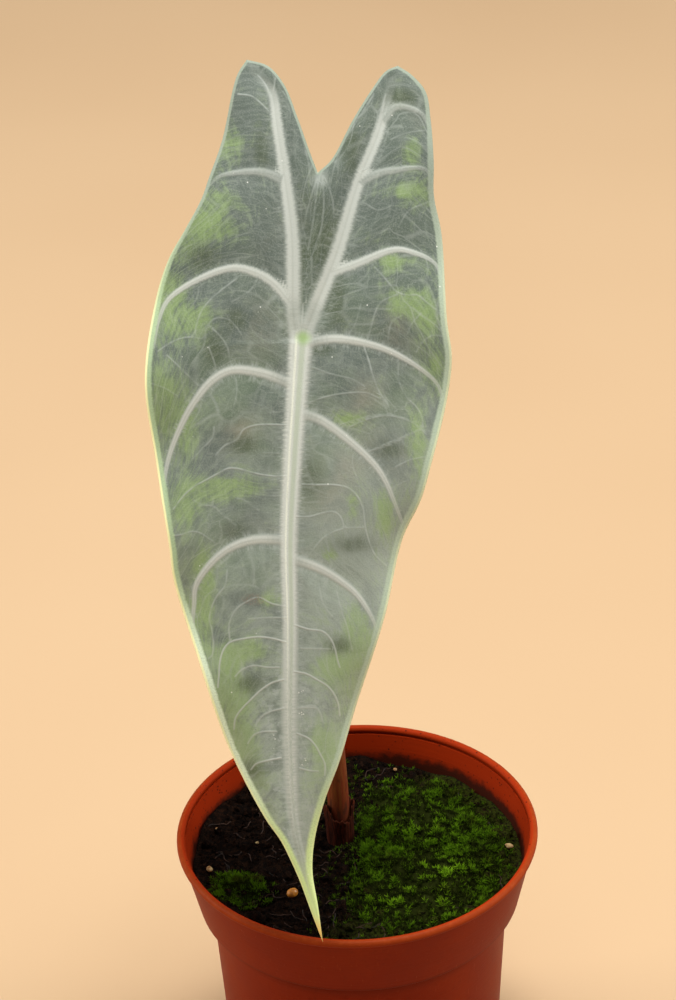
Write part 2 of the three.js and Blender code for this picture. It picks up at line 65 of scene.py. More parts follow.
def addPiece(name, mesh, materials, replaced=(), sharpAngle=180):
    mesh.name = name
    mesh.transform(Matrix.Scale(mm, 4))
    mesh.shade_smooth()
    if sharpAngle < 180:
        mesh.set_sharp_from_angle(angle=math.radians(sharpAngle))
    for material in materials:
        mesh.materials.append(material)
    piece = newObject(name, mesh)
    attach(piece, "root")
    if replaced:
        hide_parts(*replaced)
    print(name, "has", len(mesh.polygons), "faces")


def copyInto(shape, mesh, place):     # one more copy of a small mesh
    mesh.transform(place)
    shape.from_mesh(mesh)
    mesh.transform(place.inverted())


def places(mesh):
    found = np.empty(len(mesh.vertices) * 3)
    mesh.vertices.foreach_get("co", found)
    return found.reshape(-1, 3)


def putPlaces(mesh, moved):
    mesh.vertices.foreach_set("co", np.ascontiguousarray(moved, dtype=np.float32).ravel())
    mesh.update()


def addAttribute(mesh, name, *columns):
    layer = mesh.attributes.new(name, "FLOAT_VECTOR", "POINT")
    layer.data.foreach_set("vector", np.stack(columns, axis=1).astype(np.float32).ravel())


def around(reach, turn):
    return reach * math.cos(turn), reach * math.sin(turn)


def smoothStep(value, low, high):
    part = np.clip((value - low) / (high - low), 0, 1)
    return part * part * (3 - 2 * part)


def lerp(low, high, part):
    return low + (high - low) * part


def smoothPath(points, perSpan=6, closed=False):     # centripetal curve through the points
    given = np.array(points, float)
    if closed:
        knots = np.vstack([given[-1:], given, given[:2]])
    else:
        knots = np.vstack([2 * given[0] - given[1], given, 2 * given[-1] - given[-2]])
    gaps = np.linalg.norm(np.diff(knots, axis=0), axis=1) ** 0.5
    part = np.linspace(0, 1, perSpan, endpoint=False)[:, None]
    spans = []
    for i in range(1, len(knots) - 2):
        before, start, end, after = knots[i - 1:i + 3]
        a, b, c = gaps[i - 1:i + 2]
        leave = ((start - before) / a - (end - before) / (a + b) + (end - start) / b) * b
        arrive = ((end - start) / b - (after - start) / (b + c) + (after - end) / c) * b
        spans.append(start + leave * part + (3 * (end - start) - 2 * leave - arrive) * part ** 2
                     + (2 * (start - end) + leave + arrive) * part ** 3)
    if not closed:
        spans.append(given[-1:])
    return np.vstack(spans)


def runAlong(path):     # the length of the path up to each of its points
    return np.insert(np.cumsum(np.linalg.norm(np.diff(path, axis=0), axis=1)), 0, 0)


def nearPath(points, path, reach):     # offset to the path, distance, signed distance and place along it
    offset = np.full(points.shape, float(reach))
    far, signed = np.full((2, len(points)), float(reach))
    along = np.zeros(len(points))
    low, high = path.min(axis=0) - reach, path.max(axis=0) + reach
    inside = np.nonzero(((points > low) & (points < high)).all(axis=1))[0]
    near = points[inside]
    run = runAlong(path)
    for i, step in enumerate(np.diff(path, axis=0)):
        length = run[i + 1] - run[i]
        part = np.clip((near - path[i]) @ step / length ** 2, 0, 1)
        gap = path[i] + part[:, None] * step - near
        distance = np.hypot(gap[:, 0], gap[:, 1])
        closer = distance < far[inside]
        hit, gap, distance = inside[closer], gap[closer], distance[closer]
        offset[hit], far[hit] = gap, distance
        signed[hit] = np.where(step[0] * gap[:, 1] - step[1] * gap[:, 0] > 0, distance, -distance)
        along[hit] = run[i] + part[closer] * length
    return offset, far, signed, along / run[-1]


def rounded(corners, steps=6):     # a profile of (radius, height, rounding)
    profile = []
    for i, (radius, height, rounding) in enumerate(corners):
        corner = Vector((radius, height))
        if not rounding:
            profile.append(corner)
            continue
        before = (Vector(corners[i - 1][:2]) - corner).normalized()
        after = (Vector(corners[i + 1][:2]) - corner).normalized()
        half = before.angle(after) / 2
        reach = rounding / math.tan(half)
        centre = corner + (before + after).normalized() * rounding / math.sin(half)
        first, last = corner + before * reach - centre, corner + after * reach - centre
        whole = first.angle_signed(last)
        for step in range(steps + 1):
            profile.append(centre + Matrix.Rotation(-whole * step / steps, 2) @ first)
    return profile


def spinProfile(profile, steps):
    shape = bmesh.new()
    verts = [shape.verts.new((radius, 0, height)) for radius, height in profile]
    edges = [shape.edges.new(pair) for pair in zip(verts, verts[1:])]
    bmesh.ops.spin(shape, geom=verts + edges, axis=(0, 0, 1), cent=(0, 0, 0), angle=math.tau,
                   steps=steps, use_merge=True)
    bmesh.ops.remove_doubles(shape, verts=shape.verts, dist=0.001)
    bmesh.ops.recalc_face_normals(shape, faces=shape.faces)
    return shape


def sweep(paths, radius, sides, radii=None):     # round rods along lists of points
    curve = bpy.data.curves.new("rods", "CURVE")
    curve.dimensions = "3D"
    curve.bevel_depth = radius
    curve.bevel_resolution = sides
    curve.use_fill_caps = True
    for path in paths:
        spline = curve.splines.new("POLY")
        spline.points.add(len(path) - 1)
        for i, point in enumerate(path):
            spline.points[i].co = (*point, 1)
            spline.points[i].radius = radii[i] if radii is not None else 1
    rods = newObject("rods", curve)
    shape = bmesh.new()
    shape.from_mesh(bakedMesh(rods))
    bpy.data.objects.remove(rods)
    bmesh.ops.remove_doubles(shape, verts=shape.verts, dist=radius * 0.01)
    bmesh.ops.recalc_face_normals(shape, faces=shape.faces)
    return collect(shape)


# Materials
def tint(red, green, blue):     # a colour as a screen shows it, 0 to 255, for a socket
    parts = [part / 255 for part in (red, green, blue)]
    return (*[part / 12.92 if part < 0.04045 else ((part + 0.055) / 1.055) ** 2.4 for part in parts], 1)


class Wire:
    tree = None

    def __init__(self, socket):
        self.socket = socket

    @staticmethod
    def node(kind, *values, out=0, at=None, stops=None, **settings):
        made = Wire.tree.nodes.new(kind)
        for name, value in settings.items():
            setattr(made, name, value)
        if stops:
            ramp = made.color_ramp
            ramp.elements[0].position, ramp.elements[0].color = stops[0]
            ramp.elements[1].position, ramp.elements[1].color = stops[-1]
            for place, colour in stops[1:-1]:
                ramp.elements.new(place).color = colour
        for key, value in [*enumerate(values), *(at or {}).items()]:
            Wire.feed(made.inputs[key], value)
        return Wire(made.outputs[out])

    @staticmethod
    def feed(socket, value):
        if isinstance(value, Wire):
            Wire.tree.links.new(value.socket, socket)
        else:
            socket.default_value = value

    def math(self, operation, *others):
        return Wire.node("ShaderNodeMath", self, *others, operation=operation)

    def __add__(self, other):
        return self.math("ADD", other)

    def __sub__(self, other):
        return self.math("SUBTRACT", other)

    def __rsub__(self, other):
        return self.math("MULTIPLY_ADD", -1.0, other)

    def __mul__(self, other):
        return self.math("MULTIPLY", other)

    def __abs__(self):
        return self.math("ABSOLUTE")

    __radd__ = __add__
    __rmul__ = __mul__


def rise(value, low, high):     # 0 before low and 1 past high; low above high turns it round
    return Wire.node("ShaderNodeMapRange", value, low, high, interpolation_type="SMOOTHSTEP")


def most(one, other):
    return one.math("MAXIMUM", other)


def lay(amount, under, over):     # one colour over another
    return Wire.node("ShaderNodeMix", at={0: amount, 6: under, 7: over}, out=2, data_type="RGBA")


def coats(palette, colour, *layers):     # layers of (amount, colour or its name in the palette)
    def named(paint):
        return palette[paint] if isinstance(paint, str) else paint

    colour = named(colour)
    for amount, paint in layers:
        colour = lay(amount, colour, named(paint))
    return colour


def vector(operation, *values, out=0):
    return Wire.node("ShaderNodeVectorMath", *values, out=out, operation=operation)


def scaled(whole, x, y, z):
    return vector("MULTIPLY", whole, (x, y, z))


def flatLength(whole):
    return vector("LENGTH", scaled(whole, 1, 1, 0), out=1)


def parts(whole):
    made = Wire.node("ShaderNodeSeparateXYZ", whole)
    return [Wire(socket) for socket in made.socket.node.outputs]


def joined(x, y, z):
    return Wire.node("ShaderNodeCombineXYZ", x, y, z)


def attribute(name):
    return Wire.node("ShaderNodeAttribute", out=1, attribute_name=name)


def objectPlace():     # in millimetres
    return scaled(Wire.node("ShaderNodeTexCoord", out=3), 1 / mm, 1 / mm, 1 / mm)


def cloud(where, scale, detail=3.0, rough=0.5, out=0):
    return Wire.node("ShaderNodeTexNoise", out=out, at={"Vector": where, "Scale": scale, "Detail": detail,
                                                       "Roughness": rough})


def cells(where, scale, feature="DISTANCE_TO_EDGE"):
    return Wire.node("ShaderNodeTexVoronoi", at={"Vector": where, "Scale": scale}, feature=feature)


def surface(colour, roughness, height, depth, specular=0.5):     # depth in millimetres
    relief = Wire.node("ShaderNodeBump", at={"Height": height, "Distance": depth * mm})
    return {"Base Color": colour, "Roughness": roughness, "Normal": relief, "Specular IOR Level": specular}


def newMaterial(name, paint):
    material = bpy.data.materials.new(name)
    material.use_nodes = True
    Wire.tree = material.node_tree
    Wire.tree.nodes.clear()
    shader = Wire.tree.nodes.new("ShaderNodeBsdfPrincipled")
    output = Wire.tree.nodes.new("ShaderNodeOutputMaterial")
    Wire.tree.links.new(shader.outputs[0], output.inputs[0])
    for socket, value in paint().items():
        Wire.feed(shader.inputs[socket], value)
    return material


# Camera, at the height and turn from which the photograph was taken
view = {"place": (-1.4, -482.3, 434.2), "down": 30.16, "roll": 2.2, "lens": 97.45, "near": 10}


def addCamera():
    data = bpy.data.cameras.new("camera")
    data.lens = view["lens"]
    data.clip_start = view["near"] * mm
    camera = newObject("camera", data)
    pitch = Matrix.Rotation(math.radians(90 - view["down"]), 4, "X")
    roll = Matrix.Rotation(-math.radians(view["roll"]), 4, "Z")
    camera.matrix_world = Matrix.Translation(Vector(view["place"]) * mm) @ pitch @ roll
    bpy.context.scene.camera = camera


addCamera()
bpy.context.scene.view_settings.view_transform = "Standard"     # colours show as they are painted


# Studio: a plain pale floor and soft lights
studio = {
    "floor": tint(199, 170, 135), "floorShade": tint(182, 149, 113),
    "floorSize": 9000,
    "air": (1.0, 0.95, 0.88, 1),
    "airStrength": 0.24,
    # name, place, size, watts, colour; each looks at the middle of the plant
    "lights": [
        ("overhead", (90, -60, 1400), 650, 21, (1.0, 0.985, 0.965)),
        ("leftSide", (-1500, 260, 800), 800, 16, (1.0, 0.95, 0.88)),
        ("rightSide", (1500, 220, 800), 800, 14, (1.0, 0.95, 0.88)),
    ],
    "aim": (0, 0, 120),
}


def paintFloor():
    shade = rise(cloud(objectPlace(), 0.004, 2.0), 0.3, 0.7)
    return {"Base Color": coats(studio, "floor", (shade * 0.2, "floorShade")), "Roughness": 0.9,
            "Specular IOR Level": 0.1}


def addStudio():
    shape = bmesh.new()
    bmesh.ops.create_grid(shape, x_segments=2, y_segments=2, size=studio["floorSize"] / 2 * mm)
    floor = newObject("floor", collect(shape))
    floor.data.materials.append(newMaterial("paleFloor", paintFloor))
    for name, place, size, watts, colour in studio["lights"]:
        data = bpy.data.lights.new(name, "AREA")
        data.shape = "DISK"
        data.size = size * mm
        data.energy = watts
        data.color = colour
        light = newObject(name, data)
        light.location = Vector(place) * mm
        light.rotation_euler = (Vector(studio["aim"]) - Vector(place)).to_track_quat("-Z", "Y").to_euler()
    world = bpy.data.worlds.new("studioAir")
    world.use_nodes = True
    air = world.node_tree.nodes["Background"]
    air.inputs["Color"].default_value = studio["air"]
    air.inputs["Strength"].default_value = studio["airStrength"]
    bpy.context.scene.world = world
    print("studio ready")


addStudio()

# Pot
pot = {
    "height": 70, "lipRadius": 40, "bead": 0.9, "wall": 1.1, "sides": 144,
    "collarTop": 39.2, "collarFoot": 36.2, "collarHeight": 15.5, "step": 1.2,
    "bodyTop": 33.2, "base": 30.2, "drains": 6, "drainRadius": 3, "drainRing": 19,
    "plastic": tint(122, 32, 5), "pale": tint(140, 46, 10), "dark": tint(96, 25, 6),
    "lit": tint(158, 44, 7), "earthMark": tint(30, 17, 10), "scuff": tint(176, 78, 30),
    "grime": tint(62, 15, 5),
}
pot["stepTop"] = pot["height"] - pot["collarHeight"]
pot["stepFoot"] = pot["stepTop"] - pot["step"]
pot["beadFoot"] = pot["height"] - 2 * pot["bead"]


def potProfile():
    wall, stepTop, stepFoot = pot["wall"], pot["stepTop"], pot["stepFoot"]
    outside = [
        (0, 0, 0), (pot["base"] - 2, 0, 0), (pot["base"], 0, 1), (pot["bodyTop"], stepFoot, 0.7),
        (pot["collarFoot"] - 0.3, stepFoot + 0.2, 0.5), (pot["collarTop"], pot["beadFoot"], 0),
    ]
    inside = [
        (pot["collarTop"] - wall, pot["beadFoot"], 0), (pot["collarFoot"] - wall, stepTop, 1.2),
        (pot["bodyTop"] - wall, stepFoot - 0.5, 0.8), (pot["base"] - wall - 0.2, wall, 1.5), (0, wall, 0),
    ]
    centre = Vector((pot["lipRadius"] - pot["bead"], pot["height"] - pot["bead"]))
    bead = [centre + Vector(around(pot["bead"], math.radians(turn))) for turn in range(-70, 251, 16)]
    return rounded(outside + [(0, 0, 0)])[:-1] + bead + rounded([(0, 0, 0)] + inside)[1:]


def drillDrains(body):
    drills = bmesh.new()
    for hole in range(pot["drains"]):
        place = Matrix.Translation((*around(pot["drainRing"], math.tau * hole / pot["drains"]), 0))
        bmesh.ops.create_cone(drills, cap_ends=True, segments=32, radius1=pot["drainRadius"],
                              radius2=pot["drainRadius"], depth=6, matrix=place)
    made = [newObject("body", body), newObject("drills", collect(drills))]
    cut = made[0].modifiers.new("drains", "BOOLEAN")
    cut.operation = "DIFFERENCE"
    cut.solver = "EXACT"
    cut.object = made[1]
    drilled = bakedMesh(made[0])
    for item in made:
        bpy.data.objects.remove(item)
    return drilled


def paintPot():
    where = objectPlace()
    z = parts(where)[2]
    slope = (pot["collarTop"] - pot["collarFoot"]) / (pot["beadFoot"] - pot["stepTop"])
    outerWall = (z - pot["stepTop"]) * slope + pot["collarFoot"]
    inside = rise(outerWall - flatLength(where), 0.3, 0.8) * rise(z, pot["stepTop"] - 0.6, pot["stepTop"])
    soft = cloud(where, 0.05, 4.0, 0.55)
    grain = cloud(where, 1.1, 4.0, 0.6)
    rings = cloud(scaled(where, 0.02, 0.02, 1), 2.2)
    scratches = rise(cloud(scaled(where, 1, 1, 0.12), 1.7, 5.0, 0.65), 0.62, 0.72)
    lipWear = rise(z, 68.6, 69.9) * rise(cloud(where, 0.6, 5.0, 0.7), 0.42, 0.7)
    # painted shade under the collar's step: the body just below it darker
    underStep = rise(z + 2.0 * soft, pot["stepFoot"] - 4, pot["stepFoot"] + 1)
    underStep *= rise(z, pot["stepTop"], pot["stepFoot"])
    splash = rise(z + 5.0 * cloud(where, 0.3, 5.0, 0.65), 67.0, 64.8)
    crumbsLeft = rise(cells(where, 0.9, "F1"), 0.24, 0.12) * rise(cloud(where, 0.2), 0.42, 0.55)
    colour = coats(
        pot, "plastic",
        (rise(soft, 0.35, 0.68) * 0.45, "pale"),
        (rise(grain, 0.5, 0.75) * 0.25, "dark"),
        # painted highlight: the top of the lip lighter
        (rise(z, 68.0, 69.6) * 0.35, "scuff"),
        (lipWear * 0.35, "scuff"),
        (scratches * 0.18, "scuff"),
        # painted shade under the collar
        (underStep * (1 - inside) * 0.6, "grime"),
        (inside * rise(z, 62, 66) * 0.9, "lit"),     # painted light on the inside of the collar towards the lip, for light through the thin collar
        (inside * most(splash * 0.85, crumbsLeft * 0.8), "earthMark"))
    height = grain * 0.3 + rings * 0.7 - scratches * 0.4
    return surface(colour, 0.4 + 0.2 * soft + inside * 0.12, height, 0.05, 0.06)


potMesh = drillDrains(collect(spinProfile(potProfile(), pot["sides"])))
addPiece("growingPot", potMesh, [newMaterial("terracottaPlastic", paintPot)], ["pot"],
         sharpAngle=40)

# Soil: lumpy peat, with crumbs and fibres on it
soil = {
    "top": 62, "foot": 46, "gap": 0.15, "wallGap": 0.6, "rings": 70, "sides": 160, "seed": 11,
    "crumbs": 2300, "crumbSize": (0.22, 0.75), "clods": 170, "clodSize": (0.8, 1.7),
    "crumbLift": (-0.2, 0.45), "rimGap": 0.8, "stalkGap": 3.4,
    "fibres": 120, "fibreRadius": 0.11, "fibreReach": 33, "fibrePoints": (4, 9), "fibreStep": 0.8,
    "peat": tint(40, 24, 15), "pale": tint(70, 44, 26), "black": tint(13, 8, 6),
    "fibre": tint(58, 34, 20), "film": tint(50, 58, 12),
}
stalkFoot = (-3.7, 6.7)


def soilInside(height):     # the radius of the pot's inside at a height within the collar
    part = (height - pot["stepTop"]) / (pot["beadFoot"] - pot["stepTop"])
    return lerp(pot["collarFoot"], pot["collarTop"], part) - pot["wall"]


def lumps(x, y):
    return (0.7 * np.sin(0.24 * x + 1.3) * np.cos(0.21 * y - 0.6) + 0.45 * np.sin(0.41 * x - 0.37 * y + 2.1)
            + 0.3 * np.cos(0.33 * x + 0.52 * y) - 0.02 * x)


def soilAt(x, y):
    fine = noise.fractal(Vector((x, y, 3.0)) * 0.45, 0.9, 2.1, 4)
    return soil["top"] + float(lumps(x, y)) + 0.45 * fine


def makeSoilBed():
    top, foot, rings = soil["top"], soil["foot"], soil["rings"]
    rim = soilInside(top) - soil["gap"]
    deep = pot["bodyTop"] - pot["wall"] - soil["wallGap"]
    profile = [(rim * i / rings, top) for i in range(rings + 1)]
    profile.append((soilInside(pot["stepTop"] + 1) - soil["wallGap"], pot["stepTop"] + 1))
    profile += [(deep, pot["stepFoot"] - 1), (deep - 0.4, foot), (0, foot)]
    shape = spinProfile(profile, soil["sides"])
    for vert in shape.verts:
        if vert.co.z > top - 0.5:
            vert.co.z = soilAt(vert.co.x, vert.co.y)
    return collect(shape)


def makeLump(draw, detail):
    shape = bmesh.new()
    bmesh.ops.create_icosphere(shape, subdivisions=detail, radius=1)
    for vert in shape.verts:
        vert.co *= draw.uniform(0.7, 1.2)
    return collect(shape)


def makeCrumbs():
    draw = random.Random(soil["seed"])
    small = [makeLump(draw, 1) for _ in range(12)]
    large = [makeLump(draw, 2) for _ in range(8)]
    shape = bmesh.new()
    edge = soilInside(soil["top"]) - soil["rimGap"]
    for i in range(soil["crumbs"] + soil["clods"]):
        big = i < soil["clods"]
        size = draw.uniform(*soil["clodSize" if big else "crumbSize"])
        x, y = around((edge - size) * math.sqrt(draw.random()), draw.uniform(0, math.tau))
        if math.dist((x, y), stalkFoot) < soil["stalkGap"] + size:
            continue
        spot = Matrix.Translation((x, y, soilAt(x, y) + size * draw.uniform(*soil["crumbLift"])))
        spun = Euler([draw.uniform(0, math.tau) for _ in range(3)]).to_matrix().to_4x4()
        squash = Matrix.Diagonal([size * draw.uniform(low, 1.2) for low in (0.8, 0.7, 0.55)] + [1])
        copyInto(shape, draw.choice(large if big else small), spot @ spun @ squash)
    return collect(shape)


def makeFibres():
    draw = random.Random(soil["seed"] + 1)
    paths = []
    while len(paths) < soil["fibres"]:
        x, y = around(soil["fibreReach"] * math.sqrt(draw.random()), draw.uniform(0, math.tau))
        heading = draw.uniform(0, math.tau)
        path = []
        for _ in range(draw.randint(*soil["fibrePoints"])):
            path.append((x, y, soilAt(x, y) + 0.25 + 0.5 * draw.random()))
            heading += draw.uniform(-0.6, 0.6)
            onward = around(soil["fibreStep"], heading)
            x, y = x + onward[0], y + onward[1]
        if max(math.hypot(x, y) for x, y, _ in path) < soilInside(soil["top"]) - 1:
            paths.append(smoothPath(path, 2))
    return sweep(paths, soil["fibreRadius"], 0)


def paintSoil():
    where = objectPlace()
    x, y, _ = parts(where)
    damp = rise(x * 0.035 - y * 0.012 + cloud(where, 0.11, 5.0, 0.65), 0.5, 0.9)
    colour = coats(
        soil, "black",
        (rise(cloud(where, 0.9, 5.0, 0.65), 0.42, 0.68), "peat"),
        (rise(cloud(where, 2.6), 0.6, 0.75) * 0.7, "pale"),
        (damp * rise(cloud(where, 1.6, 4.0), 0.36, 0.55) * 0.85, "film"))
    height = cloud(where, 3.0, 6.0, 0.7) + rise(cells(where, 1.6), 0.0, 0.25) * 0.4
    return surface(colour, 0.75 + 0.2 * cloud(where, 2.0), height, 0.5, 0.05)


def paintFibre():
    where = objectPlace()
    colour = coats(soil, "fibre", (rise(cloud(where, 0.5), 0.4, 0.65), "black"))
    return surface(colour, 0.8, cloud(where, 6.0), 0.05)


peat = newMaterial("wetPeat", paintSoil)
addPiece("soilBed", makeSoilBed(), [peat], ["soil"])
addPiece("soilCrumbs", makeCrumbs(), [peat], sharpAngle=50)
addPiece("soilFibres", makeFibres(), [newMaterial("peatFibre", paintFibre)])

# Moss: two mats of small upright shoots, and strays round them
moss = {
    "right": {"middle": (15.5, 0), "height": 3.4, "shoots": 4300, "strays": 2000,
              "reach": [17, 16.5, 18.5, 23.5, 28, 28, 22, 17, 14.5, 18, 25.5, 29, 29, 24.5, 20, 17.5]},
    "left": {"middle": (-26.8, -11), "height": 2.2, "shoots": 460, "strays": 340,
             "reach": [6.5, 4.2, 3.8, 4.6, 5.2, 4, 4.4, 5.4]},
    "skirt": 3, "sunk": 0.9, "clump": 3.4, "shootSize": (0.6, 1.3), "lean": 0.5, "seed": 23,
    "rimGap": 1.3, "stalkGap": 4.2, "rings": 24, "sides": 96, "shootSunk": 0.25, "thinSunk": 0.9,
    "straySunk": 0.1, "straySize": 0.8, "bareBelow": 0.4,
    "leaflets": [(5, 60, 0.0), (3, 24, 0.4)],     # how many, degrees off upright, how high up the shoot
    "leafletLength": 1.2, "leafletWidth": 0.25,
    # the brighter cushions: x, y, radius
    "bright": [(17.8, -9.8, 6), (15.3, 8.4, 5.5), (2.2, 24.5, 4), (7.6, -17.9, 4.5), (17.3, -18.5, 4.5)],
    "shade": tint(38, 46, 9), "green": tint(84, 122, 15), "fresh": tint(118, 166, 24),
    "tip": tint(164, 204, 52), "old": tint(66, 58, 20), "peat": soil["peat"],
}


class Mat:
    def __init__(self, facts):
        self.x, self.y = facts["middle"]
        self.height = facts["height"]
        reach = facts["reach"]
        rim = smoothPath([around(r, math.tau * i / len(reach)) for i, r in enumerate(reach)], 10, closed=True)
        turns = np.arctan2(rim[:, 1], rim[:, 0])
        order = np.argsort(turns)
        self.turns, self.reach = turns[order], np.hypot(rim[:, 0], rim[:, 1])[order]

    def reachAt(self, turn):
        return np.interp(turn, self.turns, self.reach, period=math.tau)

    def topAt(self, x, y, part):
        tufts = (0.55 * np.sin(1.05 * x + 0.4 * y) * np.sin(0.95 * y - 0.5 * x + 1)
                 + 0.4 * np.sin(0.5 * x + 0.7 * y + 2))
        crown = self.height * np.sqrt(np.clip(1 - 0.94 * part ** 2, 0, 1))
        return soil["top"] + lumps(x, y) + crown + 0.8 * (1 - part ** 6) * tufts - 0.4

    def bed(self):
        rings = moss["rings"]
        profile = [(i / rings, 0) for i in range(rings + 1)] + [(0.97, -1), (0, -1)]
        mesh = collect(spinProfile(profile, moss["sides"]))
        spots = places(mesh)
        part, turn = np.hypot(spots[:, 0], spots[:, 1]), np.arctan2(spots[:, 1], spots[:, 0])
        reach = self.reachAt(turn)
        x, y = self.x + reach * part * np.cos(turn), self.y + reach * part * np.sin(turn)
        top = self.topAt(x, y, np.clip(part, 0, 1))
        z = np.where(spots[:, 2] > -0.5, top - moss["sunk"], soil["top"] + lumps(x, y) - moss["skirt"])
        putPlaces(mesh, np.stack([x, y, z], axis=1))
        return mesh


def makeShoot():
    shape = bmesh.new()
    length = moss["leafletLength"]
    outward = Matrix.Translation((0, 0, length / 2)) @ Matrix.Diagonal((0.4, 1, 1, 1))
    for count, lean, up in moss["leaflets"]:
        for i in range(count):
            turn = Matrix.Rotation(math.tau * i / count + up, 4, "Z")
            tilt = Matrix.Rotation(math.radians(lean), 4, "Y")
            place = Matrix.Translation((0, 0, up)) @ turn @ tilt @ outward
            bmesh.ops.create_cone(shape, cap_ends=True, segments=3, radius1=moss["leafletWidth"], radius2=0,
                                  depth=length, matrix=place)
    return collect(shape)


def makeMoss(name, seed):
    facts = moss[name]
    mat = Mat(facts)
    draw = random.Random(seed)
    shape = bmesh.new()
    shape.from_mesh(mat.bed())
    shoot = makeShoot()
    edge = soilInside(soil["top"]) - moss["rimGap"]
    for i in range(facts["shoots"] + facts["strays"]):
        turn = draw.uniform(0, math.tau)
        part = math.sqrt(draw.random()) if i < facts["shoots"] else 1 + 0.5 * draw.random() ** 1.2
        reach = float(mat.reachAt(turn)) * part
        x, y = mat.x + reach * math.cos(turn), mat.y + reach * math.sin(turn)
        nearest = noise.voronoi(Vector((x, y, 1.0)) / moss["clump"])[0]     # from the middles of clumps
        full = min(1, 1.6 * (nearest[1] - nearest[0]) + 0.15)     # 1 in a clump, less between two
        size = draw.uniform(*moss["shootSize"])
        if math.hypot(x, y) > edge or math.dist((x, y), stalkFoot) < moss["stalkGap"]:
            continue
        z = soilAt(x, y) - moss["straySunk"]
        if part <= 1:
            onMat = float(mat.topAt(x, y, part)) - moss["shootSunk"] - moss["thinSunk"] * (1 - full)
            z = max(onMat, z)
            size *= lerp(0.7, 1, full)
        elif full < moss["bareBelow"]:
            continue
        else:
            size *= moss["straySize"]
        lean = Euler((draw.gauss(0, moss["lean"]), draw.gauss(0, moss["lean"]), draw.uniform(0, math.tau)))
        place = Matrix.Translation((x, y, z)) @ lean.to_matrix().to_4x4() @ Matrix.Scale(size, 4)
        copyInto(shape, shoot, place)
    mesh = collect(shape)
    x, y, z = places(mesh).T
    part = np.hypot(x - mat.x, y - mat.y) / mat.reachAt(np.arctan2(y - mat.y, x - mat.x))
    lift = z - mat.topAt(x, y, np.clip(part, 0, 1))
    glow = np.max([np.exp(-((x - across) ** 2 + (y - along) ** 2) / radius ** 2)
                   for across, along, radius in moss["bright"]], axis=0)
    addAttribute(mesh, "growth", np.clip(lift / 1.6, -1, 1), glow, np.clip(part, 0, 2))
    return mesh


def paintMoss():
    where = objectPlace()
    lift, glow, out = parts(attribute("growth"))
    patch = cloud(where, 0.16, 4.0, 0.6)
    grain = cloud(where, 1.4, 3.0, 0.6)
    fresh = rise(glow * 0.55 + patch * 0.6 + grain * 0.25, 0.42, 0.85)
    colour = coats(
        moss, "green",
        (fresh, "fresh"),
        (rise(lift, 0.3, 0.95) * fresh * 0.6, "tip"),
        (rise(patch, 0.47, 0.3) * 0.7, "old"),
        (rise(lift, 0.25, -0.15), "shade"),
        (rise(out + patch * 0.5, 1.2, 1.6) * rise(lift, 0.4, -0.2) * 0.7, "peat"))
    return surface(colour, 0.6 + 0.3 * grain, cloud(where, 2.2, 5.0, 0.7), 0.5, 0.05)


cushion = newMaterial("mossCushion", paintMoss)
addPiece("mossRight", makeMoss("right", moss["seed"]), [cushion], ["moss_right"], sharpAngle=60)
addPiece("mossFrontLeft", makeMoss("left", moss["seed"] + 1), [cushion], ["moss_front_left"],
         sharpAngle=60)

# Feed prill and other pale grains on the soil
grains = {
    "prill": {"place": (-14.6, -15.5), "radius": 1.05, "stretch": (1.25, 1, 0.95), "turn": 0.5},
    # x, y, radius
    "others": [(-33.0, -4.9, 0.75), (33.8, 0.9, 0.7), (-31.6, 10.4, 0.5), (-9.2, -21.6, 0.45),
               (-22.5, 4.2, 0.4), (-12.4, 24.2, 0.5), (9.5, 31.0, 0.45)],
    "seed": 5,
    "amber": tint(204, 132, 42), "dark": tint(138, 82, 26), "pale": tint(164, 142, 96),
}


def makePrill():
    facts = grains["prill"]
    x, y = facts["place"]
    shape = bmesh.new()
    bmesh.ops.create_icosphere(shape, subdivisions=4, radius=facts["radius"])
    for vert in shape.verts:
        vert.co *= 1 + 0.06 * noise.fractal(vert.co * 1.8, 0.8, 2.0, 3)
    stretch = Matrix.Diagonal((*facts["stretch"], 1))
    height = soil["top"] + float(lumps(x, y)) + facts["radius"] + 0.1
    place = Matrix.Translation((x, y, height)) @ Matrix.Rotation(facts["turn"], 4, "Z") @ stretch
    bmesh.ops.transform(shape, matrix=place, verts=shape.verts)
    return collect(shape)


def makeGrains():
    shape = bmesh.new()
    draw = random.Random(grains["seed"])
    for x, y, radius in grains["others"]:
        squash = Matrix.Diagonal((draw.uniform(0.9, 1.4), draw.uniform(0.7, 1), 0.7, 1))
        turn = Matrix.Rotation(draw.uniform(0, math.tau), 4, "Z")
        centre = Vector((x, y, soilAt(x, y) + radius * 0.5 + 0.4))
        place = Matrix.Translation(centre) @ turn @ squash
        made = bmesh.ops.create_icosphere(shape, subdivisions=3, radius=radius, matrix=place)
        for vert in made["verts"]:
            vert.co = centre + (vert.co - centre) * (1 + 0.25 * noise.fractal(vert.co * 1.3, 0.8, 2.0, 3))
    return collect(shape)


def paintPrill():
    where = objectPlace()
    colour = coats(grains, "amber", (rise(cloud(where, 1.2, 4.0), 0.4, 0.7), "dark"))
    return surface(colour, 0.4, cloud(where, 4.0, 4.0), 0.08) | {"Coat Weight": 0.2}


def paintGrain():
    where = objectPlace()
    colour = coats(grains, "pale", (rise(cloud(where, 1.5, 4.0), 0.4, 0.7), "dark"))
    return surface(colour, 0.7, cloud(where, 4.0, 4.0), 0.12)


addPiece("feedPrill", makePrill(), [newMaterial("amberPrill", paintPrill)], ["feed_prill"])
addPiece("paleGrains", makeGrains(), [newMaterial("paleGrain", paintGrain)])

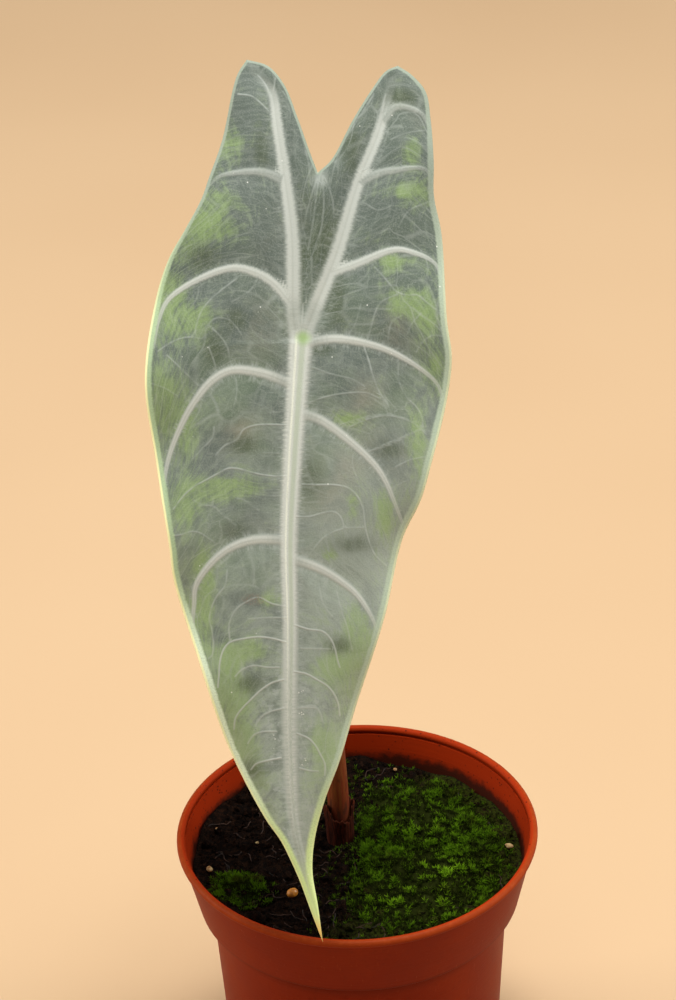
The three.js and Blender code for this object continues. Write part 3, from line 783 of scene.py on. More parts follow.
# Stalk, from under the soil to the back of the blade, and the torn sheath round its foot
blade = {"junction": (-7.3, -8, 194.87), "lean": 30.16}
lean = math.radians(blade["lean"])
bladeAcross = np.array((1, 0, 0))
bladeAlong = np.array((0, -math.sin(lean), -math.cos(lean)))
bladeFront = np.array((0, -math.cos(lean), math.sin(lean)))

stalk = {
    "foot": (*stalkFoot, 60.3), "behind": 2.3, "footRadius": 2.5, "waistRadius": 1.75, "headRadius": 2.3,
    "skin": tint(134, 74, 30), "red": tint(122, 46, 18), "olive": tint(120, 104, 58),
    "fleck": tint(62, 26, 12),
}


def stalkPath():
    head = np.array(blade["junction"]) - stalk["behind"] * bladeFront

    def behindHead(distance, drop):
        point = head - distance * bladeFront
        point[2] = head[2] - drop
        return point

    return smoothPath([stalk["foot"], (-4.1, 6.2, 82), (-5.2, 3.9, 122), (-6.6, 0, 162), behindHead(3.4, 9),
                       behindHead(1.9, 1.6), head, head + 1.3 * bladeFront], 14)


def stalkRadii(path):
    run = runAlong(path)
    part = run / run[-1]
    waist = lerp(stalk["footRadius"], stalk["waistRadius"], smoothStep(part, 0, 0.45))
    return lerp(waist, stalk["headRadius"], smoothStep(part, 0.92, 0.99))


def paintStalk():
    where = objectPlace()
    z = parts(where)[2]
    streaks = cloud(scaled(where, 1, 1, 0.09), 1.6, 4.0, 0.6)
    blotches = cloud(scaled(where, 1, 1, 0.35), 0.55, 4.0, 0.6)
    colour = coats(
        stalk, "skin",
        (rise(streaks, 0.35, 0.65), "red"),
        (rise(z, 95, 165) * 0.75, "olive"),
        (rise(blotches, 0.52, 0.62) * 0.65, "fleck"),
        (rise(z, 76, 64) * 0.8, "fleck"))
    return surface(colour, 0.42 + 0.2 * blotches, streaks * 0.6 + cloud(where, 2.5) * 0.4, 0.12)


stalkLine = stalkPath()
stalkMesh = sweep([stalkLine], 1.0, 10, stalkRadii(stalkLine))
addPiece("leafStalk", stalkMesh, [newMaterial("stalkSkin", paintStalk)], ["petiole"])

sheath = {
    "length": 10, "gap": 0.3, "flare": 0.35, "wall": 0.3, "levels": 24, "sides": 96,
    "brown": tint(72, 28, 13), "pale": tint(104, 46, 22), "dark": tint(36, 15, 8),
}


def makeSheath():
    levels, foot = sheath["levels"], stalk["foot"][2]
    shape = spinProfile([(1, i / levels) for i in range(levels + 1)], sheath["sides"])
    for vert in shape.verts:
        turn, level = math.atan2(vert.co.y, vert.co.x), vert.co.z
        torn = 0.18 * math.sin(2 * turn + 0.7) + 0.06 * math.sin(5 * turn + 2) + 0.03 * math.sin(17 * turn)
        height = level * sheath["length"] * (1 + torn)
        flare = sheath["flare"] * level ** 3 * (1 + math.sin(3 * turn))
        ribs = 0.04 * math.sin(22 * turn + 3 * level) * level + 0.05 * math.sin(9 * turn)
        x, y = around(stalk["footRadius"] + sheath["gap"] + flare + ribs, turn)
        middle = stalkLine[np.argmin(np.abs(stalkLine[:40, 2] - foot - height))]
        vert.co = (middle[0] + x, middle[1] + y, foot + height)
    bmesh.ops.recalc_face_normals(shape, faces=shape.faces)
    bmesh.ops.solidify(shape, geom=shape.faces, thickness=-sheath["wall"])
    bmesh.ops.recalc_face_normals(shape, faces=shape.faces)
    return collect(shape)


def paintSheath():
    where = objectPlace()
    fibres = cloud(scaled(where, 1, 1, 0.08), 3.2, 4.0, 0.6)
    colour = coats(
        sheath, "dark",
        (rise(fibres, 0.38, 0.66), "brown"),
        (rise(parts(where)[2], 66, 72) * rise(fibres, 0.45, 0.6) * 0.7, "pale"))
    return surface(colour, 0.7, fibres, 0.25, 0.1)


addPiece("basalSheath", makeSheath(), [newMaterial("drySheath", paintSheath)], ["basal_sheath"])

# Blade: places on it are (across, along) from where its ribs meet, along towards the tip
blade.update({
    "thickness": 0.8, "edgeThickness": 0.3, "rimRound": 0.9, "lobeRows": 64, "bodyRows": 350, "columns": 50,
    "rimSteps": (0.85, 0.4, 0.15, 0), "lobeArch": 0.0016, "tipArch": 0.00075, "fold": 2.2, "webFold": 0.9,
    "wave": 0.9, "waveLength": 31, "quilt": 0.4, "sinusBand": 0.5, "veinHalf": 0.2, "flowLead": 40,
    # how far from a line its distance is measured
    "rimReach": 8, "ribReach": 9, "veinReach": 6, "wholeReach": 400,
})
outlines = {
    "middle": [(4.4, -33), (1.8, -15), (0, 0), (-3.2, 30.1), (-4.4, 55.2), (-5.4, 79), (-5.1, 95.5),
               (-3.2, 105.8), (-0.5, 119.6)],
    # the band is the width of the pale rim: along, width
    "left": {
        "facing": -1, "wavePhase": 0.6,
        "edge": [(-8.8, -56.3), (-10.8, -53.2), (-14.2, -40.3), (-16.9, -33), (-18.6, -28.5), (-22, -22.6),
                 (-25.5, -16.9), (-28.3, -9.1), (-30.9, 7), (-29.5, 22.2), (-27.5, 39), (-26.9, 46),
                 (-22.7, 61.8), (-18.1, 77.9), (-14.6, 86.5), (-10.7, 94.3), (-8, 98.6), (-6.2, 102.7),
                 (-4.6, 106.9), (-2.4, 113.9), (-0.5, 119.6)],
        "sinus": [(-8.8, -56.3), (-4.7, -54.9), (-1.6, -51), (0.8, -44.3), (2.9, -37.5), (4.4, -33)],
        "spine": [(0, 2), (-1.3, -3.8), (-1.1, -20.9), (-3.2, -42.5), (-4.1, -49.6), (-6.3, -52.7)],
        "band": [(-56, 0.55), (-25, 0.7), (-5, 1.3), (50, 1.45), (65, 1.6), (90, 1.25), (108, 0.9)],
    },
    "right": {
        "facing": 1, "wavePhase": 2.4,
        "edge": [(21, -53.9), (23.7, -51.9), (26.3, -48.4), (27, -42.7), (27.2, -34), (27, -27.5),
                 (28.2, -20), (28.5, -3), (29.2, 4.5), (28, 12.4), (24.4, 25), (22.1, 32), (18.3, 39.4),
                 (14.2, 54.5), (7.6, 73), (4.3, 82.8), (1, 90.7), (-1.3, 98.5), (-2, 105), (-1.2, 112),
                 (-0.5, 119.6)],
        "sinus": [(21, -53.9), (18.6, -52.9), (15.9, -49.6), (11.7, -43.3), (7.2, -35.5), (4.4, -33)],
        "spine": [(-0.4, 2), (1.7, -3.7), (7.3, -16.3), (12.3, -30.7), (16.8, -40.9), (18.8, -47.8)],
        "band": [(-54, 0.6), (-35, 1.2), (20, 1.5), (50, 1.4), (85, 1.2), (101, 1.2), (112, 0.9)],
    },
}
notch, tip = outlines["middle"][0][1], outlines["middle"][-1][1]
midrib = {"from": 4.2, "to": 1.0, "front": 0.25, "back": 1.5,
          "path": [(0.1, -3), (-0.7, 4.7), (-2.5, 21.6), (-4, 38.6), (-4.4, 55.2), (-5.4, 79), (-5.1, 95.5),
                   (-3.2, 105.8), (-1.5, 113.5)]}
lobeRibs = [outlines["left"]["spine"] + [(-7.6, -54.2)], outlines["right"]["spine"] + [(19.9, -50.8)]]
sideRibs = [
    [(-2.8, -32.1), (-6.1, -33.4), (-10.4, -33.6), (-15.2, -32.8), (-16.6, -31.4)],
    [(-1.6, -7.2), (-5.2, -11.6), (-8.6, -13.7), (-12.8, -14.7), (-19.5, -12.8), (-25.6, -9.2),
     (-27.6, -5.6), (-29, 0.5)],
    [(-1.8, 8.6), (-5.1, 7.1), (-8.4, 5.9), (-14, 5.3), (-17.8, 7.2), (-21, 10.7), (-24, 15.4), (-26.9, 22),
     (-28, 27.5), (-27.6, 33)],
    [(-3.6, 39), (-10.6, 38.5), (-15.7, 40), (-19.7, 43.1), (-22.6, 47.2), (-23.1, 50.8), (-23.5, 54.5),
     (-22.6, 58.8)],
    [(17.6, -43), (19.7, -45.3), (21.7, -45.5), (25.2, -44), (26.2, -42)],
    [(12.4, -30.8), (16.4, -32.4), (19.4, -32.8), (25.4, -32.8), (26.6, -30.8)],
    [(6.2, -13.2), (11.1, -14.6), (18.8, -17.1), (22.2, -16.5), (26.6, -14.2), (27.8, -11)],
    [(0.5, 0.7), (3.7, 0), (7.1, -0.1), (14.5, 1.7), (19.7, 4.2), (25.9, 9.1), (27.3, 12.4)],
    [(-1.2, 14), (2.7, 15.4), (6, 17.7), (12.6, 23.9), (15, 27.4), (17.5, 34), (18.7, 37.4)],
    [(-4.2, 42.4), (-0.1, 43.8), (2.8, 45.2), (6.1, 47.5), (9, 50.2), (11.9, 55.2), (12.7, 58.4)],
]
# width at the start and end, height in front and behind, places
mainRibs = ([(3.4, 1.8, 0.2, 1.2, path) for path in lobeRibs]
            + [(2.1, 0.55, 0.16, 0.7, path) for path in sideRibs])
# strength, then places
fineVeins = [
    (1, [(-4.1, 26.3), (-7.5, 26.1), (-10.5, 25.4), (-13.4, 24.5), (-15.3, 24.4), (-17.3, 25.3),
         (-20.1, 26.7), (-22.1, 27.7), (-24.3, 29.5), (-26.3, 31.9)]),
    (0.9, [(-3.7, 16.3), (-7.1, 16.1), (-9.9, 16.2), (-12.1, 17), (-13.2, 18.7), (-15.8, 19.9),
           (-17.6, 21.7)]),
    (1, [(-1, 28), (1.7, 28.2), (6, 28.5), (8.1, 29.2), (9.7, 30.8), (10.7, 33.2), (11, 37), (11.4, 38.7),
         (11.9, 40.5), (12.7, 42.4), (14.8, 44.6)]),
    (0.8, [(-2.3, 34.3), (0.2, 34.4), (2.4, 33.9), (4.7, 33.6), (6, 34.3), (6.6, 35.6), (6.7, 36.9),
           (5.2, 37.4), (3.1, 38.4), (1.3, 40.1), (-0.5, 42.3)]),
    (0.7, [(6.7, 36.9), (8.9, 36.9), (11, 37)]),
    (0.6, [(-26.3, 37.1), (-24.6, 36.9), (-22.8, 36.4), (-21.2, 36.8), (-19.5, 38), (-18.3, 38.9)]),
    (0.5, [(-22.2, 30.4), (-20.5, 31.3), (-19.2, 31.4), (-18, 31.9), (-16.8, 33.4), (-15.1, 34.5)]),
    (0.8, [(8.6, 17.2), (12.4, 15.8), (15.9, 15.3), (19.7, 16.1), (22.1, 17.7), (23.2, 18.8)]),
    (0.8, [(12.1, 1.8), (12.9, 4.4), (13.6, 7.4), (14.8, 10.8), (16.4, 13.4), (16.7, 15.1)]),
    (0.6, [(-13, 7.2), (-13.1, 10.2), (-13.8, 12.7)]),
    (0.7, [(-28.2, 1.1), (-25.6, -0.5), (-23.5, -1.3), (-20.9, -1.4), (-19.2, -0.9)]),
    (0.7, [(1.1, 12), (5.4, 10.9), (8.4, 10.6), (12.2, 10.7), (15.1, 12.1)]),
    (0.6, [(12.2, 22.2), (15.6, 20.8), (18.7, 19.7), (20.4, 18.9)]),
    (0.7, [(-5.2, 54.1), (-8.8, 53.9), (-12.5, 54)]),
    (1.1, [(-5.4, 58.9), (-8.1, 58), (-10.8, 57.6), (-13.5, 57.8), (-16.3, 58.4), (-17.7, 59.9),
           (-18.5, 62.4), (-18.8, 65.1), (-19.1, 67.2)]),
    (1, [(-6.2, 66.3), (-8.5, 66.8), (-10.8, 68.2), (-12.7, 69.9), (-14.6, 71.7), (-15.9, 73.5),
         (-16.3, 75.7)]),
    (0.7, [(-7, 63.8), (-9.2, 63.7), (-11.9, 63.2), (-14.2, 63.9), (-15.6, 65.2)]),
    (1, [(-7.3, 81.8), (-10, 82.2), (-12.3, 82.8), (-13.3, 83.9)]),
    (0.8, [(-6.4, 72), (-8.7, 72.4), (-10.5, 73.2), (-11.7, 74.5)]),
    (0.7, [(-8, 76.5), (-10.7, 76.4), (-12.5, 77), (-13.7, 78.6)]),
    (0.8, [(-4.7, 52), (-7.8, 51.2), (-10.5, 49.8), (-12.3, 50.4), (-14.2, 51.4), (-15.6, 53), (-16.4, 55.2),
           (-16.3, 58.4)]),
    (1, [(-3.5, 55.6), (-0.8, 56.5), (1.9, 57), (3.4, 58.5), (4.2, 60.5), (4.6, 62.8), (5, 64.2)]),
    (1, [(-3.9, 64.8), (-1.6, 65.3), (0.6, 66.6), (2.4, 67.8), (3.7, 69.6), (4.4, 71.5), (4.6, 73.8)]),
    (0.7, [(-3.7, 71.9), (-1, 72), (0.2, 72.2), (1, 73.6)]),
    (0.9, [(-3.9, 77.1), (-1.7, 78.1), (-0.4, 79.6), (0.5, 81.4), (1.3, 83.3), (1.2, 85.6)]),
    (0.8, [(-3.7, 84), (-1.5, 84.6), (-0.1, 84.7)]),
    (0.9, [(-4.3, -48.3), (-5, -50.5), (-5.9, -52.1), (-6.7, -53)]),
    (0.8, [(-4.3, -48.3), (-3.6, -50.4), (-3.3, -52.2)]),
    (0.9, [(-10.7, -49.3), (-8.2, -48.8), (-6.5, -47.5), (-4.8, -45.7)]),
    (0.9, [(17.6, -44.8), (18, -46.9), (18.4, -48.2)]),
    (0.6, [(-11.9, -12.8), (-16.7, -9.3), (-19.2, -6.6), (-20.5, -3.3), (-20.7, -1.6)]),
    (0.4, [(-8.6, -11.3), (-10.4, -9.6), (-13.4, -8)]),
    (0.5, [(-18.8, -1.3), (-18.5, -2.9), (-16.9, -4.8), (-14.3, -4.7), (-12.6, -3), (-11.7, -1.6)]),
    (0.6, [(-17.7, -3.4), (-15.8, -1.4), (-14.5, 0.8), (-14.1, 3.6), (-13.9, 4.6)]),
    (0.6, [(-18.1, 0.7), (-17.2, 3.5), (-16.9, 4.8)]),
    (0.5, [(-26.3, 1.9), (-23.3, 5), (-20.5, 8)]),
    (0.4, [(-29.5, 7.3), (-27.2, 8.2), (-24.5, 10)]),
    (0.35, [(-19.6, -11.2), (-20.1, -9), (-21.5, -7.1)]),
    (0.6, [(14.8, -13.8), (16.7, -11.5), (19.2, -8.5), (21.5, -8), (22.9, -8), (24.4, -6.7), (26.5, -4.9)]),
    (0.55, [(19.1, -8.3), (16, -7), (14.9, -5.7), (13.6, -2), (12.9, 0.1)]),
    (0.5, [(19.8, -4.1), (17.8, -3), (17.1, -1.1), (16.8, 0.8)]),
    (0.35, [(11.8, -6.6), (10.5, -2.7), (8.9, -0.8)]),
    (0.6, [(27.6, 0.3), (25.7, 0), (23.5, 1.3), (22.2, 3.2)]),
    (0.35, [(23.5, -4.4), (21.5, -2.3), (20.6, -0.4)]),
    (0.5, [(18.7, 4.4), (18.7, 8.9), (20.1, 12.1)]),
    (0.5, [(1.4, 5), (6, 6.9), (9.3, 7.8), (12, 9.5)]),
    (0.6, [(7, 16.7), (10.2, 15.9), (13.1, 15.2), (16.9, 15.2), (19, 16), (21.7, 16.7)]),
    (0.5, [(16, 12.2), (16.5, 13.8), (17.1, 15.2)]),
    (0.55, [(20.5, 12.4), (22, 14), (22.9, 16), (23, 17.7), (23.6, 19.3)]),
    (0.6, [(12.5, 22), (15.9, 21.2), (20, 19.4), (22.7, 17.9)]),
    (0.4, [(9.1, 22.7), (9, 25), (9.9, 27.6)]),
    (0.5, [(17.3, 25.4), (20.3, 24.1), (23.2, 23.6)]),
    (0.35, [(16.1, 29.6), (19.7, 28)]),
    (0.6, [(-17.7, 16.2), (-18, 18.1), (-18.8, 19.1), (-19.8, 20), (-22.2, 22.3)]),
    (0.4, [(-4.2, 21.8), (-6.3, 21.7), (-8.3, 21.6)]),
    (0.5, [(-21.4, 31.5), (-18.7, 31.6), (-17, 33.1), (-15.3, 34.7), (-14.3, 35.5)]),
    (0.4, [(-18.4, 30.3), (-18.7, 31.6)]),
    (0.4, [(-13.9, 30.4), (-12.8, 30.5), (-11.2, 31.7), (-9.7, 32.8)]),
    (0.4, [(-4.5, 30), (-7.3, 30.1)]),
    (0.4, [(-4.5, 34.7), (-6.4, 34.7)]),
    (0.55, [(-16.3, 44.3), (-16.8, 47.2), (-18.7, 49.5), (-19.9, 52.3), (-20.2, 54), (-19.7, 56.2),
            (-19.9, 60.8), (-20.7, 61.5)]),
    (0.5, [(-9.8, 72.7), (-11.4, 73.8), (-12, 75.2)]),
    (0.5, [(-2.5, 60.2), (3.2, 60.5)]),
    (0.45, [(1.5, 47.6), (2.1, 51.3), (4, 54.2)]),
    (0.45, [(5, 49.5), (5.6, 52.6), (6.7, 56.2), (7.3, 59.6), (7.5, 60.8)]),
    (0.5, [(-3.6, 72.1), (-0.4, 71.6), (0.7, 72.9), (1.2, 74.9)]),
    (0.4, [(19, -39), (22, -40.1), (25.6, -40.5)]),
    (0.4, [(13, -26.9), (15.9, -25), (19.1, -25.9)]),
    (0.4, [(25.6, -26.2), (21.9, -24.6), (19.7, -21.5)]),
    (0.5, [(4.6, -32.4), (3.8, -27.6), (3, -22.7), (1.9, -17.8)]),
    (0.5, [(5.2, -32.4), (5.4, -27.6), (4.8, -22.6), (3.4, -17.8)]),
    (0.45, [(4.2, -32), (2.4, -26.7), (1, -21.8)]),
    (0.45, [(5.7, -31.9), (7.1, -27.5), (7.2, -23.9)]),
    (0.5, [(-1.9, -49.5), (0.3, -45.8), (1.7, -39.7), (2.7, -34.6), (2.9, -30.6)]),
    (0.5, [(16, -48.2), (12, -42.3), (9.5, -38.4), (7.8, -34.4), (6.6, -29.9)]),
]
leafPaint = {
    # green, dark and brownish patches: across, along, and how far they reach across and along; the dark ones
    # are partly painted shade beside the ribs
    "greenPatches": [(-13.5, -40.3, 3.1, 4), (-15.5, -27.8, 3.1, 1.8), (-16.4, -22.1, 4, 3.1),
                     (-25.2, -8.6, 3.1, 6.7), (-19.8, -4.9, 3.1, 2.2), (-27.7, 11.5, 2.2, 5.5),
                     (-23.2, 16.9, 2, 5.8), (-18.8, 28.5, 5.8, 1.8), (-24, 32.6, 2.2, 2.7),
                     (-14, 28.3, 4.4, 1.6), (-20.6, 44.1, 1.8, 4), (-21.5, 52.4, 1.6, 4.9),
                     (-16.5, 63.1, 1.3, 4), (-12.2, 60.3, 2.7, 1.8), (-15.7, 68.9, 1.8, 3.1),
                     (-14.5, 78.1, 1.8, 2.7), (-8.7, 50.5, 2.2, 1.8), (23, -35.8, 2, 2.7),
                     (21.7, -28.5, 2.7, 1.8), (24.5, -4.2, 1.8, 4), (20.3, -6.9, 3.1, 2.2),
                     (18.2, -14.8, 2.7, 1.8), (21.6, 20.2, 1.6, 5.8), (14.8, 34.7, 1.6, 4.4),
                     (8.8, 32.5, 1.1, 2.7), (3.8, 63.9, 2.7, 2.7), (8.5, 55.1, 2.2, 4),
                     (0.8, 79.7, 1.8, 2.7), (26, 7.1, 1.3, 3.1), (8.8, 15.8, 3.6, 1.6),
                     (3.9, 42.1, 1.3, 0.9)],
    "darkPatches": [(-18.2, -17.2, 3.1, 2.4), (-18.8, -34.1, 3.3, 1.1), (-6.4, -38, 1.6, 3.6),
                    (-17.1, 1.1, 2.2, 3.6), (-12.4, -4.6, 2.2, 2.2), (6.6, -7.8, 1.8, 4),
                    (4.7, -19.7, 3.6, 8.9), (8.7, 40.3, 4, 1.8), (-14.8, 36.5, 2.7, 1.6),
                    (4.8, 59.9, 2.7, 1.8), (-12.5, 66.6, 3.1, 1.8), (-13.6, 84.1, 2.2, 2.2),
                    (16.4, 22, 3.1, 2), (-2.3, -2.2, 1.1, 4), (0.1, -13.9, 1.1, 4.4), (-12, 19.9, 3.1, 1.8),
                    (3.5, 1.9, 2.2, 1.3), (11.2, -37.3, 1.8, 4.4), (21.1, -47, 3.1, 2.2),
                    (0.5, 27.3, 3.1, 4.4)],
    "warmPatches": [(-7.7, -4, 3.1, 4), (0.5, -24.8, 2.7, 3.6), (18.3, -1.5, 3.1, 3.1), (11.9, 12, 2.7, 3.1),
                    (15.4, 22.9, 3.6, 2.2), (3.3, 31.3, 3.1, 3.1), (-12.8, 17, 2.7, 2.2),
                    (-14.1, -46.3, 1.3, 1.3), (7.4, 25.6, 2.7, 2.7), (-5.2, -19.1, 2.2, 2.7),
                    (24.9, -42.8, 2.2, 2.2)],
    # across, along
    "dust": [(-8, -6.6), (-8.6, 77.5), (-9.3, 79.9), (-11, 57.5), (-3, 68.6), (-2.9, 73.3), (-2.9, 82.7)],
    "heartAt": (0.3, -0.6), "notchAt": (4.7, -32), "scarAt": (-11.4, 50.2),
    "slate": tint(86, 97, 91), "lamina": tint(124, 135, 126), "pale": tint(164, 174, 163),
    "sage": tint(116, 136, 104), "green": tint(140, 168, 94), "olive": tint(66, 78, 50),
    "brown": tint(136, 128, 108), "vein": tint(174, 182, 176),
    "ribEdge": tint(172, 178, 170), "rib": tint(190, 195, 187), "ribLine": tint(178, 183, 174),
    "midribEdge": tint(188, 193, 186), "midribSide": tint(206, 212, 204),
    "midribCentre": tint(188, 199, 181), "midribHighlight": tint(234, 239, 224), "heart": tint(156, 188, 120),
    "marginLobe": tint(148, 160, 145), "marginLeft": tint(176, 200, 158), "marginRight": tint(176, 192, 170),
    "marginLine": tint(252, 250, 190), "marginLow": tint(228, 246, 218), "tip": tint(212, 234, 160),
    "tipEnd": tint(236, 204, 120), "speck": tint(232, 234, 226), "scar": tint(124, 92, 76),
    "under": tint(150, 166, 128), "underRib": tint(186, 200, 158), "underShade": tint(120, 128, 104),
    "underFlush": tint(142, 112, 108),
}


def acrossAt(points):
    line = smoothPath(points, 16)
    line = line[np.argsort(line[:, 1])]
    return lambda along: np.interp(along, line[:, 1], line[:, 0])


middleAt = acrossAt(outlines["middle"])
sides = {name: {key: acrossAt(outlines[name][key]) for key in ("edge", "sinus", "spine")}
         for name in ("left", "right")}


def onSide(name, across, along):
    return (across < middleAt(along)) == (name == "left")


def columnSpots(width, inLobe):     # distances from the half's inner line, closer together near a free edge
    count, steps = blade["columns"], len(blade["rimSteps"]) - 1
    rim = np.array(blade["rimSteps"]) * min(1, width / 6)
    if inLobe:
        between = np.linspace(rim[0], width - rim[0], count + 1 - 2 * steps)
        return np.concatenate([rim[::-1][:-1], between, width - rim[1:]])
    part = np.linspace(0, 1, count + 1 - steps)
    return np.concatenate([(width - rim[0]) * part * (0.75 + 0.25 * part), width - rim[1:]])


def halfSheet(shape, name):
    ease = np.sqrt(np.linspace(0, 1, blade["lobeRows"], endpoint=False) ** 2 + 0.01) - 0.1
    ease /= math.sqrt(1.01) - 0.1
    inLobe = lerp(outlines[name]["edge"][0][1], notch, ease)
    alongs = np.concatenate([inLobe, np.linspace(notch, tip, blade["bodyRows"] + 1)])
    inner = np.where(alongs < notch, sides[name]["sinus"](alongs), middleAt(alongs))
    outer = sides[name]["edge"](alongs)
    outer[-1] = inner[-1]
    spots = [near + outlines[name]["facing"] * columnSpots(abs(far - near), along < notch)
             for along, near, far in zip(alongs, inner, outer)]
    rows, columns = len(alongs) - 1, blade["columns"]
    made = bmesh.ops.create_grid(shape, x_segments=columns, y_segments=rows, size=0.5)
    for vert in made["verts"]:
        row, column = round((vert.co.y + 0.5) * rows), round((vert.co.x + 0.5) * columns)
        vert.co = (spots[row][column], alongs[row], 0)


def flatBlade():     # the blade's two skins as one flat closed solid: z is 0 behind and 1 in front
    shape = bmesh.new()
    for name in sides:
        halfSheet(shape, name)
    bmesh.ops.remove_doubles(shape, verts=shape.verts, dist=0.004)
    whole = shape.faces[:] + shape.edges[:] + shape.verts[:]
    lifted = bmesh.ops.extrude_face_region(shape, geom=whole, use_keep_orig=True)
    for item in lifted["geom"]:
        if isinstance(item, bmesh.types.BMVert):
            item.co.z = 1
    bmesh.ops.recalc_face_normals(shape, faces=shape.faces)
    return collect(shape)


def nonZero(width):
    return np.where(np.abs(width) < 1e-6, 1, width)


def middleSurface(across, along):     # how far the blade's middle surface stands in front of its plane
    result = -np.where(along < 0, blade["lobeArch"], blade["tipArch"]) * along ** 2
    middle = middleAt(along)
    ends = smoothStep(along, -56, -40) * (1 - 0.85 * smoothStep(along, 55, 115))
    for name, side in sides.items():
        spine = np.where(along < 0, side["spine"](along), middle)
        edge = side["edge"](along)
        inner = np.where(along < notch, side["sinus"](along), middle)
        outward = (across - spine) / nonZero(edge - spine)
        webPart = np.clip((spine - across) / nonZero(spine - inner), 0, 1)
        webRise = blade["webFold"] * np.abs(spine - inner) / 10 * np.sin(webPart * math.pi * 0.8)
        part = np.clip(outward, 0, 1)
        fold = blade["fold"] * np.abs(edge - spine) / 28 * np.sin(part * math.pi * 0.85)
        swing = np.sin(math.tau * along / blade["waveLength"] + outlines[name]["wavePhase"])
        wave = blade["wave"] * ends * part ** 3 * swing
        result += np.where(onSide(name, across, along), np.where(outward < 0, webRise, fold + wave), 0)
    return result


def ribFlow(spots, name):     # how far out along the side ribs, and how far down between them
    facing, lead = outlines[name]["facing"], blade["flowLead"]
    drawn = sideRibs + [path for strong, path in fineVeins if strong >= 1]
    outward = [path for path in drawn if (path[-1][0] - path[0][0]) * facing > 0]
    last = None
    for guide in sorted(outward, key=lambda path: path[0][1]):
        line = smoothPath(guide, 3)
        leads = [step * lead / math.hypot(*step) for step in (line[0] - line[1], line[-1] - line[-2])]
        line = np.vstack([line[0] + leads[0], line, line[-1] + leads[1]])
        _, far, signed, place = nearPath(spots, line, blade["wholeReach"])
        past, out, down = signed * facing < 0, place * runAlong(line)[-1] - lead, np.mean(guide, axis=0)[1]
        if last is None:
            run, level = out, down - far
        else:
            part, here = last[1] / (last[1] + far), last[0] & ~past
            run = np.where(here, lerp(last[2], out, part), run)
            level = np.where(here, lerp(last[3], down, part), level)
        last = (past, far, out, down)
    return np.where(past, out, run), np.where(past, down + far, level)


